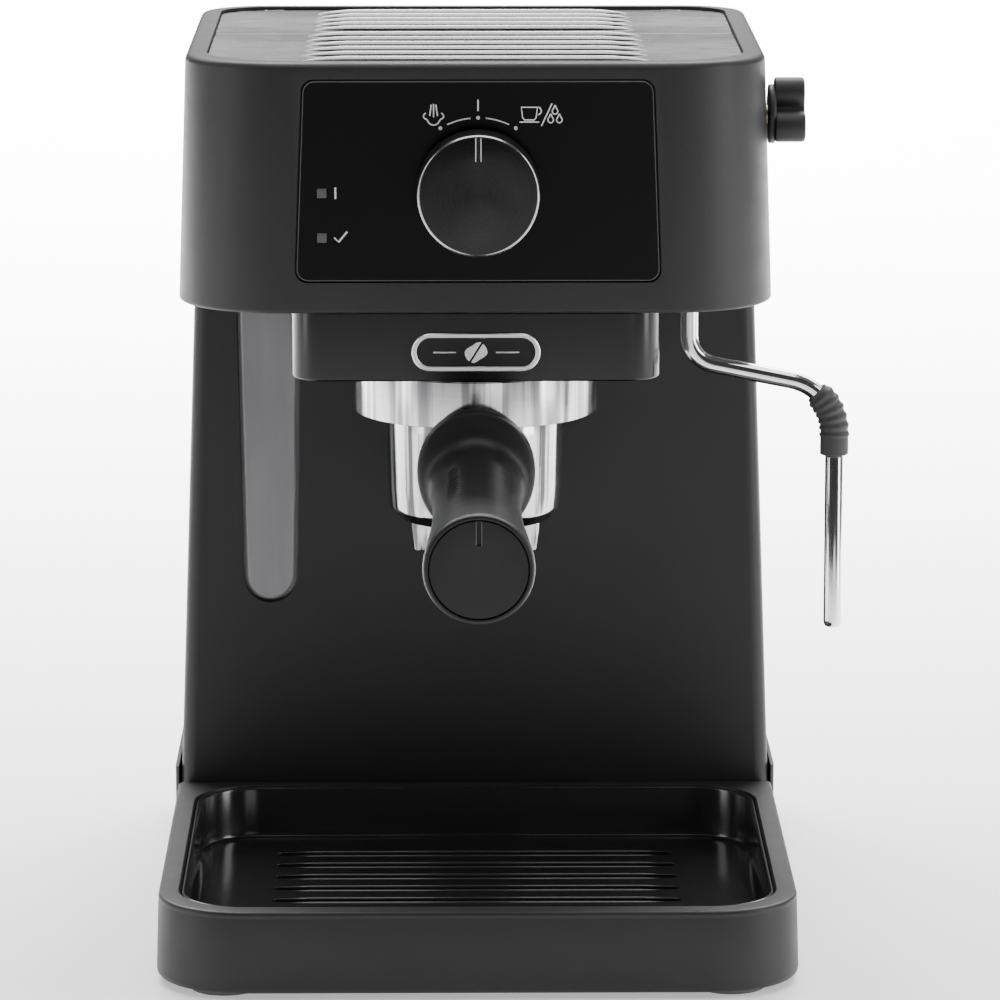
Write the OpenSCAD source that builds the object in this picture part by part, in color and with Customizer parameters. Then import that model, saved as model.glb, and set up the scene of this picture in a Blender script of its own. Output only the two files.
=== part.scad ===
// Compact pump espresso machine: housing, group, filter holder, steam wand, tray and water tank.
// Sizes are laid out on the machine's own grid: x = 0 on its middle plane, y = 0 at the drip tray's
// front edge and z = 0 on the table. placed() then moves everything to the part's frame, whose
// origin is the bottom centre of the whole machine's bounding box.

/* [Overall] */
// Overall height over the ribs of the top plates
total_h = 287; // [280:1:295]
// Depth of the column and head behind the drip tray's front edge
rear_y = 280; // [276:1:286]

/* [Head] */
// Head width at its underside
head_w0 = 196.3; // [192:0.1:200]
// Head width at its top
head_w1 = 190.7; // [188:0.1:196]
// Depth of the head's front face
head_y = 95; // [93:1:97]
// Height of the head's underside
head_z = 204.5; // [203:0.5:206]
// Radius of the head's front corners
head_r = 35; // [25:1:40]

/* [Column] */
// Column width at the drip tray's rim
column_w0 = 202.7; // [200:0.1:203]
// Column width under the head
column_w1 = 190.3; // [188:0.1:192]
// Depth of the column's front face
column_y = 178; // [178:1:180]
// Wall of the moulded shells
wall = 2.5; // [2:0.1:3]

/* [Drip tray] */
// Tray width at its foot
tray_w = 205.8; // [204:0.1:206]
// Tray height to its rim
tray_h = 28.5; // [27:0.5:30]
// Tray front corner radius
tray_r = 28; // [20:1:32]
// Width of the basin's opening
basin_w = 190; // [186:1:191]
// Height of the cup grille's floor
grille_z = 10.3; // [10:0.1:12]

/* [Group] */
// Depth of the group's axis
group_y = 137; // [136:0.5:138]
// Outer diameter of the bayonet ring
ring_d = 80.6; // [78:0.1:81]
// Outer diameter of the filter holder's bowl
bowl_d = 59.6; // [58:0.1:60]
// Length of the handle along its axis
handle_l = 140.9; // [135:0.1:145]

/* [Controls] */
// Selector knob diameter
knob_d = 40.2; // [36:0.1:42]
// Height of the selector knob's axis
knob_z = 245; // [244:0.5:246]
// Height of the steam knob's axis
steam_z = 264.7; // [262:0.1:266]

/* [Steam wand] */
// Distance of the wand's swivel axis from the middle plane
wand_x = 70.6; // [68:0.1:73]
// Distance of the frother tube from the middle plane
frother_x = 119; // [116:0.5:120]
// Wand tube diameter
wand_d = 5.8; // [5:0.1:6]

/* [Hidden] */
$fn = 64;

// The bounding box runs from the tray's left side to the frother's grip and from the handle to the back.
origin_x = 10.1;
origin_y = 118;
gap = 0.3;
rim_z = total_h - 0.6;
plate_z = total_h - 1.8;
plate_w = 176.3;
plate_y0 = head_y + 7.6;
split_y = 194.8;
plate_y1 = rear_y - 7;
column_z0 = 8;
column_z1 = head_z - 0.2;
lid_z0 = 280;
hinge_y = rear_y - 2.6;
hinge_z = rim_z - 3.6;
knob_x = 0.7;
panel_z0 = 215.1;
panel_z1 = 280.8;
window_x = -70;
steam_y = 138;
wand_y = 122;
wand_r = wand_d / 2;
bolt_r = 3;
bead = 0.15;
tank_y0 = 199;
tank_y1 = 275.8;
tank_x0 = -85;
tank_x1 = 85;
tank_leg_x1 = -22;
tank_z0 = 84;
tank_step_z = 217;
tank_top_z = 279.4;
spigot_x = -53;
spigot_y = 237;
handle_y = 95.9;
handle_z = 147.6;
pin_r = 1.1;
notch_x = [-70, 70];
foot_x = 80.5;
foot_y = [16.5, 262];
cord_x = 60;
cord_z = 20;
cover_x = 74;

module placed() translate([-origin_x, -origin_y, 0]) children();

// A flat outline from y0 to y1 with its own corner radius at the front and at the rear.
module outline(w, y0, y1, rf, rr) {
    h = w / 2;
    union() {
        polygon([
            [-h + rf, y0], [h - rf, y0], [h, y0 + rf], [h, y1 - rr],
            [h - rr, y1], [-h + rr, y1], [-h, y1 - rr], [-h, y0 + rf]
        ]);
        for (s = [-1, 1]) {
            translate([s * (h - rf), y0 + rf]) circle(rf);
            translate([s * (h - rr), y1 - rr]) circle(rr);
        }
    }
}

module slab(z, w, y0, y1, rf, rr) translate([0, 0, z]) linear_extrude(0.02) outline(w, y0, y1, rf, rr);

module block(x0, x1, y0, y1, z0, z1) translate([x0, y0, z0]) cube([x1 - x0, y1 - y0, z1 - z0]);

// A cylinder that runs along y or x from its first end to its second.
module y_rod(x, z, y0, y1, r) translate([x, y0, z]) rotate([-90, 0, 0]) cylinder(h = y1 - y0, r = r);

module x_rod(y, z, x0, x1, r) translate([x0, y, z]) rotate([0, 90, 0]) cylinder(h = x1 - x0, r = r);

module z_ring(x, y, z0, z1, r, hole) translate([x, y, z0]) difference() {
    cylinder(h = z1 - z0, r = r);
    translate([0, 0, -1]) cylinder(h = z1 - z0 + 2, r = hole);
}

// A round tube through a list of points, with a slightly larger ball at each bend.
module tube_path(points, r) {
    for (i = [0 : len(points) - 2]) {
        a = points[i];
        b = points[i + 1];
        d = b - a;
        l = norm(d);
        translate(a) rotate([0, acos(d[2] / l), atan2(d[1], d[0])]) cylinder(h = l, r = r);
        if (i > 0) translate(a) sphere(r + bead);
    }
}

function head_w(z) = head_w0 + (head_w1 - head_w0) * (z - head_z) / (rim_z - head_z);

function column_w(z) = column_w0 + (column_w1 - column_w0) * (z - tray_h) / (column_z1 - tray_h);

// ---- Base and column ----

module base_plate() placed() color("#151515") difference() {
    union() {
        translate([0, 0, 2]) linear_extrude(2) outline(207, 181, rear_y + 1.4, 2, 21);
        translate([0, 0, 2]) linear_extrude(1.6) outline(195, 3.8, 200, 24, 2);
    }
    for (x = [-foot_x, foot_x], y = foot_y) translate([x, y, 0]) cylinder(h = 2.8, r = 11);
}

// A band around the foot of the column.
module base_skirt() placed() color("#151515") difference() {
    translate([0, 0, 4]) linear_extrude(29) outline(207, 181, rear_y + 1.4, 2, 21);
    translate([0, 0, 3]) linear_extrude(40) outline(column_w(column_z0) + 0.4, 150, rear_y + 0.2, 2, 20);
    y_rod(cord_x, cord_z, rear_y - 10, rear_y + 10, 6);
}

module rubber_feet() placed() color("#6a6a6a") for (x = [-foot_x, foot_x], y = foot_y) {
    translate([x, y, 0]) cylinder(h = 2.8, r = 11);
}

module column_shell() placed() color("#101010") difference() {
    hull() {
        slab(column_z0, column_w(column_z0), column_y, rear_y, 5, 20);
        slab(column_z1 - 0.02, column_w1, column_y, rear_y, 5, 20);
    }
    hull() {
        slab(-1, column_w(-1) - 2 * wall, column_y + wall, rear_y - wall, 3, 18);
        slab(head_z, column_w1 - 2 * wall, column_y + wall, rear_y - wall, 3, 18);
    }
    window_cut(0.9);
    block(-cover_x - gap, cover_x + gap, rear_y - 9, rear_y + 9, 0, head_z);
}

// The outline of the level window: straight sides that widen upwards from a round lower end.
module window_outline(grow) {
    r = 8.1 + grow;
    translate([window_x, 100.7]) circle(r);
    polygon([
        [window_x - r, 100.7], [window_x + r, 100.7],
        [window_x + 10.2 + grow, column_z1 + 1], [window_x - 10.2 - grow, column_z1 + 1]
    ]);
}

module window_cut(grow) translate([0, column_y + 20, 0]) rotate([90, 0, 0]) linear_extrude(40) {
    window_outline(grow);
}

module level_window() placed() color("#8c8c8c") difference() {
    union() {
        translate([0, column_y + 3.1, 0]) rotate([90, 0, 0]) linear_extrude(2.5) window_outline(0);
        translate([0, column_y + 4.6, 0]) rotate([90, 0, 0]) linear_extrude(2) window_outline(2.4);
    }
    block(-100, 0, 150, 200, column_z1, 240);
}

module back_cover() placed() color("#131313") difference() {
    block(-cover_x, cover_x, rear_y - wall, rear_y, column_z0, column_z1);
    for (x = [-68, 68], z = [46, 188]) y_rod(x, z, rear_y - 9, rear_y + 9, 1.8);
    for (k = [0 : 7]) block(-22, 62, rear_y - 9, rear_y + 9, 110 + 9 * k, 113.5 + 9 * k);
    block(-61.2, -46.8, rear_y - 9, rear_y + 9, 61.8, 82.2);
    y_rod(cord_x, cord_z, rear_y - 10, rear_y + 10, 6);
}

module back_screws() placed() color("#9a9a9a") for (x = [-68, 68], z = [46, 188]) {
    y_rod(x, z, rear_y - 3.6, rear_y, 1.8);
    difference() {
        y_rod(x, z, rear_y, rear_y + 1.2, 3.2);
        for (a = [0, 90]) {
            translate([x, rear_y + 1.2, z]) rotate([0, a, 0]) cube([4, 1.2, 0.9], center = true);
        }
    }
}

module cord_gland() placed() color("#181818") difference() {
    union() {
        y_rod(cord_x, cord_z, rear_y - 6, rear_y + 1.4, 5.9);
        y_rod(cord_x, cord_z, rear_y - 6, rear_y - 3, 8);
    }
    y_rod(cord_x, cord_z, rear_y - 10, rear_y + 10, 3.6);
}

module power_bezel() placed() color("#0d0d0d") difference() {
    union() {
        block(-61, -47, rear_y - 14, rear_y, 62, 82);
        block(-62.5, -45.5, rear_y, rear_y + 1.2, 60.5, 83.5);
    }
    block(-59.6, -48.4, rear_y - 12.5, rear_y + 9, 63.4, 80.6);
}

module power_rocker() placed() color("#1c1c1c") intersection() {
    x_rod(rear_y - 6, 72, -59.2, -48.8, 7.9);
    block(-60, -48, rear_y - 6.5, rear_y + 3, 64, 80);
}

// ---- Head and top ----

module head_outer(z0, z1) hull() {
    slab(z0, head_w(z0) - 1.2, head_y + 0.6, rear_y - 0.6, head_r, 22);
    slab(z0 + 0.7, head_w(z0), head_y, rear_y, head_r, 22);
    slab(z1 - 1.2, head_w(z1), head_y, rear_y, head_r, 22);
    slab(z1 - 0.4, head_w(z1) - 0.8, head_y + 0.4, rear_y - 0.4, head_r, 22);
    slab(z1 - 0.02, head_w(z1) - 2.2, head_y + 1.1, rear_y - 1.1, head_r, 22);
}

// The control panel's outline, a little wider at its lower edge.
module panel_outline(grow) {
    r = 4;
    for (s = [-1, 1]) {
        translate([knob_x + s * (59.25 + grow - r), panel_z0 - grow + r]) circle(r);
        translate([knob_x + s * (57 + grow - r), panel_z1 + grow - r]) circle(r);
    }
    polygon([
        [knob_x - 59.25 - grow + r, panel_z0 - grow], [knob_x + 59.25 + grow - r, panel_z0 - grow],
        [knob_x + 59.25 + grow, panel_z0 - grow + r], [knob_x + 57 + grow, panel_z1 + grow - r],
        [knob_x + 57 + grow - r, panel_z1 + grow], [knob_x - 57 - grow + r, panel_z1 + grow],
        [knob_x - 57 - grow, panel_z1 + grow - r], [knob_x - 59.25 - grow, panel_z0 - grow + r]
    ]);
}

module head_shell() placed() color("#1b1b1b") difference() {
    head_outer(head_z, rim_z);
    hull() {
        slab(head_z + wall, head_w(head_z) - 2 * wall, head_y + wall, rear_y - wall, head_r - wall, 20);
        slab(rim_z - 3.6, head_w(rim_z) - 2 * wall, head_y + wall, rear_y - wall, head_r - wall, 20);
    }
    block(-110, 110, split_y, rear_y + 9, lid_z0 - gap, total_h);
    block(-110, 110, rear_y - 8, rear_y + 9, lid_z0 - 1.2, total_h);
    block(-92, 92, column_y + wall, rear_y - wall, head_z - 1, head_z + wall + 1);
    translate([0, 0, 230]) linear_extrude(60) outline(180, tank_y0 - 1.5, rear_y - wall, 3, 17);
    translate([0, 0, plate_z - 0.8]) linear_extrude(9) outline(plate_w + 0.2, plate_y0 - 0.1, 220, 28, 2);
    translate([0, head_y + 1.6, 0]) rotate([90, 0, 0]) linear_extrude(9) panel_outline(0.3);
    y_rod(knob_x, knob_z, head_y - 5, head_y + 9, 5);
    for (z = [229.5, 244.1]) block(-52, -48, head_y - 5, head_y + 9, z - 2, z + 2);
    translate([0, group_y, head_z - 1]) cylinder(h = 9, r = 42);
    translate([wand_x, wand_y, head_z - 1]) cylinder(h = 9, r = 7.05);
    x_rod(steam_y, steam_z, 80, 110, 4);
}

module ribs(y_first, pitch, count, length) for (k = [0 : count - 1]) {
    translate([0, y_first + pitch * k, 0]) rib(length);
}

// One raised rib: a half-round bar that ends in a cone at each side.
module rib(length) translate([0, 0, plate_z - 0.2]) intersection() {
    union() {
        translate([-length / 2 + 12, 0, 0]) rotate([0, 90, 0]) cylinder(h = length - 24, r = 2);
        for (s = [-1, 1]) {
            translate([s * (length / 2 - 12), 0, 0])
                rotate([0, s * 90, 0]) cylinder(h = 12, r1 = 2, r2 = 0.2);
        }
    }
    block(-length, length, -5, 5, 0, 5);
}

module cup_warmer_plate() placed() color("#8f9094") {
    translate([0, 0, plate_z - 0.8]) linear_extrude(0.8) outline(plate_w, plate_y0, split_y - 0.4, 28, 1);
    ribs(113, 14.9, 6, 114);
}

module control_panel() placed() color("#050505") difference() {
    translate([0, head_y + 1.5, 0]) rotate([90, 0, 0]) linear_extrude(1.6) panel_outline(0);
    y_rod(knob_x, knob_z, head_y - 5, head_y + 9, 4);
    for (z = [229.5, 244.1]) block(-51.7, -48.3, head_y - 5, head_y + 9, z - 1.7, z + 1.7);
}

module indicator_lenses() placed() color("#77736c") for (z = [229.5, 244.1]) {
    block(-51.6, -48.4, head_y - 0.15, head_y + 5, z - 1.6, z + 1.6);
}

module control_board() placed() color("#2f5a3a") {
    block(-74, -34, head_y + 5.2, head_y + 6.8, 218, 262);
    block(-70, -58, head_y + 6.8, head_y + 14, 240, 256);
    block(-50, -40, head_y + 6.8, head_y + 12, 222, 232);
}

module selector_switch() placed() color("#c9c3b4") difference() {
    union() {
        block(knob_x - 13, knob_x + 13, head_y + 4, head_y + 24, 234, 257);
        y_rod(knob_x, knob_z, head_y + 2.6, head_y + 4, 5.6);
    }
    y_rod(knob_x, knob_z, head_y, head_y + 20, 3.05);
}

module selector_knob() placed() color("#262626") difference() {
    union() {
        y_rod(knob_x, knob_z, head_y - 14.2, head_y - 0.6, knob_d / 2);
        translate([knob_x, head_y - 14.2, knob_z]) rotate([90, 0, 0]) {
            cylinder(h = 0.8, r1 = knob_d / 2, r2 = knob_d / 2 - 0.8);
        }
        y_rod(knob_x, knob_z, head_y - 1, head_y + 19.5, 3);
    }
    block(knob_x - 0.85, knob_x + 0.85, head_y - 16, head_y - 14.4, knob_z + 11.3, knob_z + 19);
}

// ---- Group, boiler and water path ----

module group_cover() placed() color("#0b0b0b") difference() {
    translate([0, 0, 181.7]) linear_extrude(head_z - 0.2 - 181.7) outline(120.7, 97, column_y - 0.2, 11, 1);
    translate([0, 0, 183.9]) linear_extrude(40) outline(116.3, 99.2, column_y - 2.4, 8.8, 1);
    translate([0, group_y, 170]) cylinder(h = 30, r = 36);
}

module badge() placed() color("#b9b9bb") difference() {
    translate([0, 97, 0]) rotate([90, 0, 0]) linear_extrude(1.2) {
        for (s = [-1, 1]) translate([s * 14.75, 191.6]) circle(6.25);
        translate([-14.75, 185.35]) square([29.5, 12.5]);
    }
    translate([0, 96.2, 0]) rotate([90, 0, 0]) linear_extrude(1.2) {
        for (s = [-1, 1]) translate([s * 14.75, 191.6]) circle(5.2);
        translate([-14.75, 186.4]) square([29.5, 10.4]);
    }
}

module group_ring() placed() color("#c4c4c6") difference() {
    union() {
        translate([0, group_y, 166.4]) cylinder(h = 181.6 - 166.4, r = ring_d / 2);
        translate([0, group_y, 166]) cylinder(h = 0.4, r1 = ring_d / 2 - 0.4, r2 = ring_d / 2);
        translate([0, group_y, 181]) cylinder(h = 3, r = 35.4);
    }
    translate([0, group_y, 168.8]) cylinder(h = 11.4, r = 35);
    translate([0, group_y, 160]) cylinder(h = 30, r = 30.4);
    for (s = [-1, 1]) translate([0, group_y, 160]) rotate([0, 0, -50]) {
        intersection() {
            cylinder(h = 12, r = 34.7);
            block(s > 0 ? 20 : -40, s > 0 ? 40 : -20, -13, 13, 0, 12);
        }
    }
}

module group_gasket() placed() color("#1a1a1a") z_ring(0, group_y, 178, 180.2, 34.8, 27.4);

module shower_screen() placed() color("#b8b8b8") difference() {
    translate([0, group_y, 178.2]) cylinder(h = 1, r = 26.6);
    translate([0, group_y, 170]) cylinder(h = 20, r = 2.2);
    for (a = [0 : 30 : 359], r = [10, 19]) {
        translate([r * cos(a), group_y + r * sin(a), 170]) cylinder(h = 20, r = 0.9);
    }
}

module shower_screw() placed() color("#c0c0c0") translate([0, group_y, 0]) {
    translate([0, 0, 176.9]) cylinder(h = 1.3, r = 4.6);
    translate([0, 0, 178.2]) cylinder(h = 7.8, r = 2);
}

module boiler_base() placed() color("#a9aaad") translate([0, group_y, 0]) difference() {
    union() {
        translate([0, 0, 179.2]) cylinder(h = 5, r = 27);
        translate([0, 0, 184]) cylinder(h = 22, r = 30);
        translate([0, 0, 206]) cylinder(h = 4, r = 37);
    }
    translate([0, 0, 188]) cylinder(h = 30, r = 26);
    translate([0, 0, 170]) cylinder(h = 16, r = 2);
    for (a = [45 : 90 : 359]) translate([33.5 * cos(a), 33.5 * sin(a), 200]) cylinder(h = 20, r = 2);
    for (a = [0 : 60 : 359]) translate([14 * cos(a), 14 * sin(a), 170]) cylinder(h = 30, r = 1.2);
}

module boiler_gasket() placed() color("#7d2b22") z_ring(0, group_y, 210, 211.4, 30.8, 26);

module boiler_cap() placed() color("#a9aaad") translate([0, group_y, 0]) difference() {
    union() {
        translate([0, 0, 211.4]) cylinder(h = 4, r = 37);
        translate([0, 0, 215.4]) cylinder(h = 14.6, r = 29.8);
    }
    translate([0, 0, 210]) cylinder(h = 16.5, r = 26);
    for (a = [45 : 90 : 359]) translate([33.5 * cos(a), 33.5 * sin(a), 205]) cylinder(h = 20, r = 2.2);
}

module boiler_screws() placed() color("#b5b5b5") for (a = [45 : 90 : 359]) {
    translate([33.5 * cos(a), group_y + 33.5 * sin(a), 0]) {
        translate([0, 0, 202]) cylinder(h = 13.4, r = 2);
        translate([0, 0, 215.4]) cylinder(h = 2.6, r = 3.4, $fn = 6);
    }
}

module heating_element() placed() color("#8d8d8f") translate([0, group_y, 196]) {
    rotate([0, 0, 110]) rotate_extrude(angle = 320) translate([33.4, 0]) circle(3);
    for (a = [116, 64]) translate([33.4 * cos(a), 33.4 * sin(a), 0]) cylinder(h = 7, r = 1.6);
}

module thermostats() placed() color("#d8d2c2") for (x = [-14, 14]) translate([x, group_y + 6, 230]) {
    cylinder(h = 6, r = 8);
    translate([0, 0, 6]) cylinder(h = 3, r = 4);
    for (s = [-1, 1]) block(s * 5 - 1, s * 5 + 1, -3, 3, 5.5, 12);
}

module thermal_fuse() placed() color("#cfcfcf") {
    x_rod(group_y - 13, 233, -10, 10, 2.4);
    for (x = [-5, 5]) block(x - 1.5, x + 1.5, group_y - 15, group_y - 11, 230, 231);
}

module pump_body() placed() color("#d5d0c4") difference() {
    union() {
        x_rod(228, 90, 2, 18, 13);
        x_rod(228, 90, 18, 60, 9);
        x_rod(228, 90, 60, 72, 12);
        x_rod(228, 90, 72, 84, 5);
        x_rod(228, 90, -8, 2, 3.2);
    }
    x_rod(228, 90, 4, 70, 4);
}

module pump_coil() placed() color("#a3622e") difference() {
    block(18.5, 59.5, 209, 247, 71, 109);
    x_rod(228, 90, 10, 70, 9);
}

module pump_mounts() placed() color("#222222") for (x = [4, 61]) difference() {
    block(x, x + 10, 214, 242, 4, 90);
    x_rod(228, 90, x - 1, x + 11, x > 30 ? 12 : 13);
}

module suction_hose() placed() color("#d9d9d2") tube_path([
    [spigot_x, spigot_y, 68], [spigot_x, spigot_y, 40], [-14.5, 228, 40], [-14.5, 228, 90], [-8, 228, 90]
], 3.2);

module pressure_hose() placed() color("#e6e3da") tube_path([
    [84, 228, 90], [88.5, 228, 90], [88.5, 228, 222], [88.5, group_y, 222], [29.9, group_y, 222]
], 3);

module steam_pipe() placed() color("#c98a4b") tube_path([
    [24, 130, 230], [24, 130, steam_z], [24, steam_y, steam_z], [62, steam_y, steam_z]
], 2);

module steam_valve() placed() color("#b08d4f") difference() {
    union() {
        x_rod(steam_y, steam_z, 62, 90, 8);
        tube_path([
            [wand_x, steam_y, 258],
            [wand_x, steam_y, 240],
            [wand_x, wand_y, 226],
            [wand_x, wand_y, 216]
        ], 3);
    }
    x_rod(steam_y, steam_z, 66, 95, 3.05);
}

module steam_spindle() placed() color("#c2a15e") {
    x_rod(steam_y, steam_z, 66.5, 96.8, 3);
}

// Three round lobes around the spindle, one of them up, joined by a hub.
module steam_knob() placed() color("#161616") translate([96.8, steam_y, steam_z]) rotate([0, 90, 0]) {
    cylinder(h = 2.6, r = 9.8);
    translate([0, 0, 2.2]) {
        cylinder(h = 10, r = 5.6);
        for (a = [60 : 120 : 359]) rotate([0, 0, a]) translate([7, 0, 0]) cylinder(h = 10, r = 5.2);
    }
}

// ---- Steam wand ----

arm_slope = 11.5;
bend_a_r = 10;
bend_b_r = 18;
bend_a_z = 193;
bend_turn = 90 - arm_slope;
sleeve_turn = 50;
arm_x0 = wand_x + bend_a_r * (1 - sin(arm_slope));
arm_z0 = bend_a_z - bend_a_r * cos(arm_slope);
arm_x1 = frother_x - bend_b_r * (1 - sin(arm_slope));
arm_z1 = arm_z0 - (arm_x1 - arm_x0) * tan(arm_slope);
bend_b_z = arm_z1 - bend_b_r * cos(arm_slope);
lap = 0.3;
straight_r = wand_r - 0.03;
sleeve_hole_r = wand_r + 0.03;
sleeve_z0 = 152.9;
frother_z0 = 94.5;

// A quarter-turn of tube in the vertical plane of the wand.
module elbow(cx, cz, bend_r, from, turn, r) translate([cx, wand_y, cz]) rotate([90, 0, 0]) {
    rotate([0, 0, from]) rotate_extrude(angle = turn) translate([bend_r, 0]) circle(r);
}

// The straight arm between the elbows; both of its ends reach a little into them.
module arm_rod(r) {
    reach = lap * cos(arm_slope);
    translate([arm_x0 - reach, wand_y, arm_z0 + reach * tan(arm_slope)]) rotate([0, 90 + arm_slope, 0]) {
        cylinder(h = (arm_x1 - arm_x0) / cos(arm_slope) + 2 * lap, r = r);
    }
}

module wand_bushing() placed() color("#1a1a1a") difference() {
    union() {
        translate([wand_x, wand_y, head_z - 0.4]) cylinder(h = 11.6, r = 7);
        translate([wand_x, wand_y, head_z + wall]) cylinder(h = 3, r = 10);
    }
    translate([wand_x, wand_y, 190]) cylinder(h = 40, r = wand_r + 0.05);
}

module steam_wand() placed() color("#c9c9cb") {
    translate([wand_x, wand_y, bend_a_z - lap]) cylinder(h = 215.7 - bend_a_z + lap, r = straight_r);
    elbow(wand_x + bend_a_r, bend_a_z, bend_a_r, 180, bend_turn, wand_r);
    arm_rod(straight_r);
    elbow(frother_x - bend_b_r, bend_b_z, bend_b_r, 0, bend_turn, wand_r);
    translate([frother_x, wand_y, sleeve_z0]) cylinder(h = bend_b_z - sleeve_z0 + lap, r = straight_r);
    translate([frother_x, wand_y, 105]) cylinder(h = sleeve_z0 - 105 + 3, r = 1.9);
}

// A ribbed rubber grip round the lower bend and a little of the straight below it.
module wand_sleeve() placed() color("#171717") {
    translate([frother_x - bend_b_r, wand_y, bend_b_z]) {
        rotate([90, 0, 0]) rotate_extrude(angle = sleeve_turn) translate([bend_b_r, 0]) difference() {
            circle(4.55);
            circle(sleeve_hole_r);
        }
        for (k = [0 : 4]) rotate([0, -sleeve_turn * k / 5, 0]) z_ring(bend_b_r, 0, -0.8, 0.8, 5.1, 3.6);
    }
    z_ring(frother_x, wand_y, sleeve_z0, bend_b_z, 4.55, sleeve_hole_r);
}

module frother_tube() placed() color("#cfcfd1") translate([frother_x, wand_y, 0]) difference() {
    union() {
        translate([0, 0, frother_z0 + 1]) cylinder(h = sleeve_z0 - 0.3 - frother_z0 - 1, r = 3);
        translate([0, 0, frother_z0]) cylinder(h = 1, r1 = 2.1, r2 = 3);
    }
    translate([0, 0, 104.6]) cylinder(h = 90, r = 1.95);
    translate([0, 0, 90]) cylinder(h = 20, r = 0.7);
}

// ---- Filter holder ----

module filter_bowl() placed() color("#c2c2c4") translate([0, group_y, 0]) difference() {
    union() {
        translate([0, 0, 134]) cylinder(h = 43, r = bowl_d / 2);
        rotate_extrude() translate([bowl_d / 2 - 5, 134]) intersection() {
            circle(5);
            translate([0, -5]) square(5);
        }
        translate([0, 0, 129]) cylinder(h = 5, r = bowl_d / 2 - 5);
        for (s = [0, 180]) rotate([0, 0, s]) intersection() {
            translate([0, 0, 169.4]) cylinder(h = 3.2, r = 34.5);
            block(0, 40, -11, 11, 160, 180);
        }
        translate([0, -group_y, 0]) on_handle() translate([0, 0, -14]) cylinder(h = 13.9, r = 9);
    }
    translate([0, 0, 132]) cylinder(h = 60, r = 27.4);
    translate([0, 0, 120]) cylinder(h = 20, r = 3);
    translate([0, -group_y, 0]) on_handle() translate([0, 0, -12]) cylinder(h = 20, r = bolt_r);
}

module filter_basket() placed() color("#c9c9c9") translate([0, group_y, 0]) difference() {
    union() {
        translate([0, 0, 151]) cylinder(h = 26, r = 26.6);
        translate([0, 0, 177]) cylinder(h = 0.7, r = 29.2);
    }
    translate([0, 0, 151.8]) cylinder(h = 40, r = 25.8);
    for (a = [0 : 45 : 359], r = [6, 12, 18]) {
        translate([r * cos(a), r * sin(a), 140]) cylinder(h = 20, r = 0.6);
    }
}

module basket_spring() placed() color("#8a8a8a") translate([0, group_y, 168]) rotate_extrude() {
    translate([27, 0]) circle(0.38);
}

module spout() placed() color("#bdbdbf") translate([0, group_y, 0]) difference() {
    union() {
        translate([0, 0, 125]) cylinder(h = 4, r = 9);
        block(-17.6, 17.6, -4.2, 4.2, 121.8, 128.6);
        for (s = [-1, 1]) {
            translate([s * 17.4, 0, 118]) cylinder(h = 10.6, r1 = 3.4, r2 = 4.7);
        }
    }
    for (s = [-1, 1]) translate([s * 17.4, 0, 110]) cylinder(h = 15, r = 2.2);
    x_rod(0, 125, -17.4, 17.4, 2);
    translate([0, 0, 110]) cylinder(h = 30, r = 3);
}

module spout_screw() placed() color("#a8a8a8") translate([0, group_y, 0]) {
    translate([0, 0, 120.4]) cylinder(h = 1.4, r = 4);
    translate([0, 0, 121.8]) cylinder(h = 11, r = 3);
}

// Everything on the handle's axis is drawn along +z and laid towards the front.
module on_handle() translate([0, handle_y, handle_z]) rotate([90, 0, 0]) children();

// The collar against the bayonet ring is an egg that stands higher than the grip behind it.
module handle_collar() {
    translate([0, 6.5]) circle(19.3);
    translate([0, 0.4]) circle(17);
    polygon([[-17.87, -0.78], [17.87, -0.78], [15.74, -6], [-15.74, -6]]);
}

module handle() placed() color("#1a1a1a") on_handle() difference() {
    union() {
        linear_extrude(9) handle_collar();
        rotate_extrude() polygon([
            [0, 8], [16.2, 8], [15.3, 11], [14.6, 14.5], [14.3, 19], [14.2, 40], [14.4, 70],
            [15.2, 94], [16.4, 118], [17.2, handle_l - 5], [17.2, handle_l - 1.5], [16.4, handle_l],
            [0, handle_l]
        ]);
    }
    translate([0, 0, handle_l - 2.4]) cylinder(h = 9, r = 15.6);
    translate([0, 0, -5]) cylinder(h = 60, r = bolt_r);
}

module handle_cap() placed() color("#141414") on_handle() difference() {
    translate([0, 0, handle_l - 2.4]) cylinder(h = 2.2, r = 15.3);
    block(-0.9, 0.9, 7.5, 15, handle_l - 0.8, handle_l + 5);
}

module handle_bolt() placed() color("#9b9b9b") on_handle() {
    translate([0, 0, -11.8]) cylinder(h = 58, r = bolt_r);
}

// ---- Drip tray ----

module drip_tray() placed() color("#1d1d1d") difference() {
    hull() {
        slab(1.8, tray_w - 3, 1.5, 177.4, tray_r, 1.5);
        slab(3.4, tray_w, 0, 177.4, tray_r, 1.5);
        slab(tray_h - 0.8, tray_w - 1.5, 0.4, 177.4, tray_r, 1.5);
        slab(tray_h - 0.02, tray_w - 2.7, 1, 177.4, tray_r, 1.5);
    }
    translate([0, 0, 5.6]) linear_extrude(40) outline(basin_w + 0.5, 8, 172, 22.2, 22.2);
    translate([0, 0, -1]) linear_extrude(5) outline(tray_w - 9, 2.8, 190, 24.4, 1);
    translate([0, 0, -1]) linear_extrude(tray_h - 2) difference() {
        outline(tray_w - 6, 2.4, 175, tray_r - 2.4, 1.5);
        outline(basin_w + 4.5, 6, 174, 24, 24);
    }
}

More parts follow.
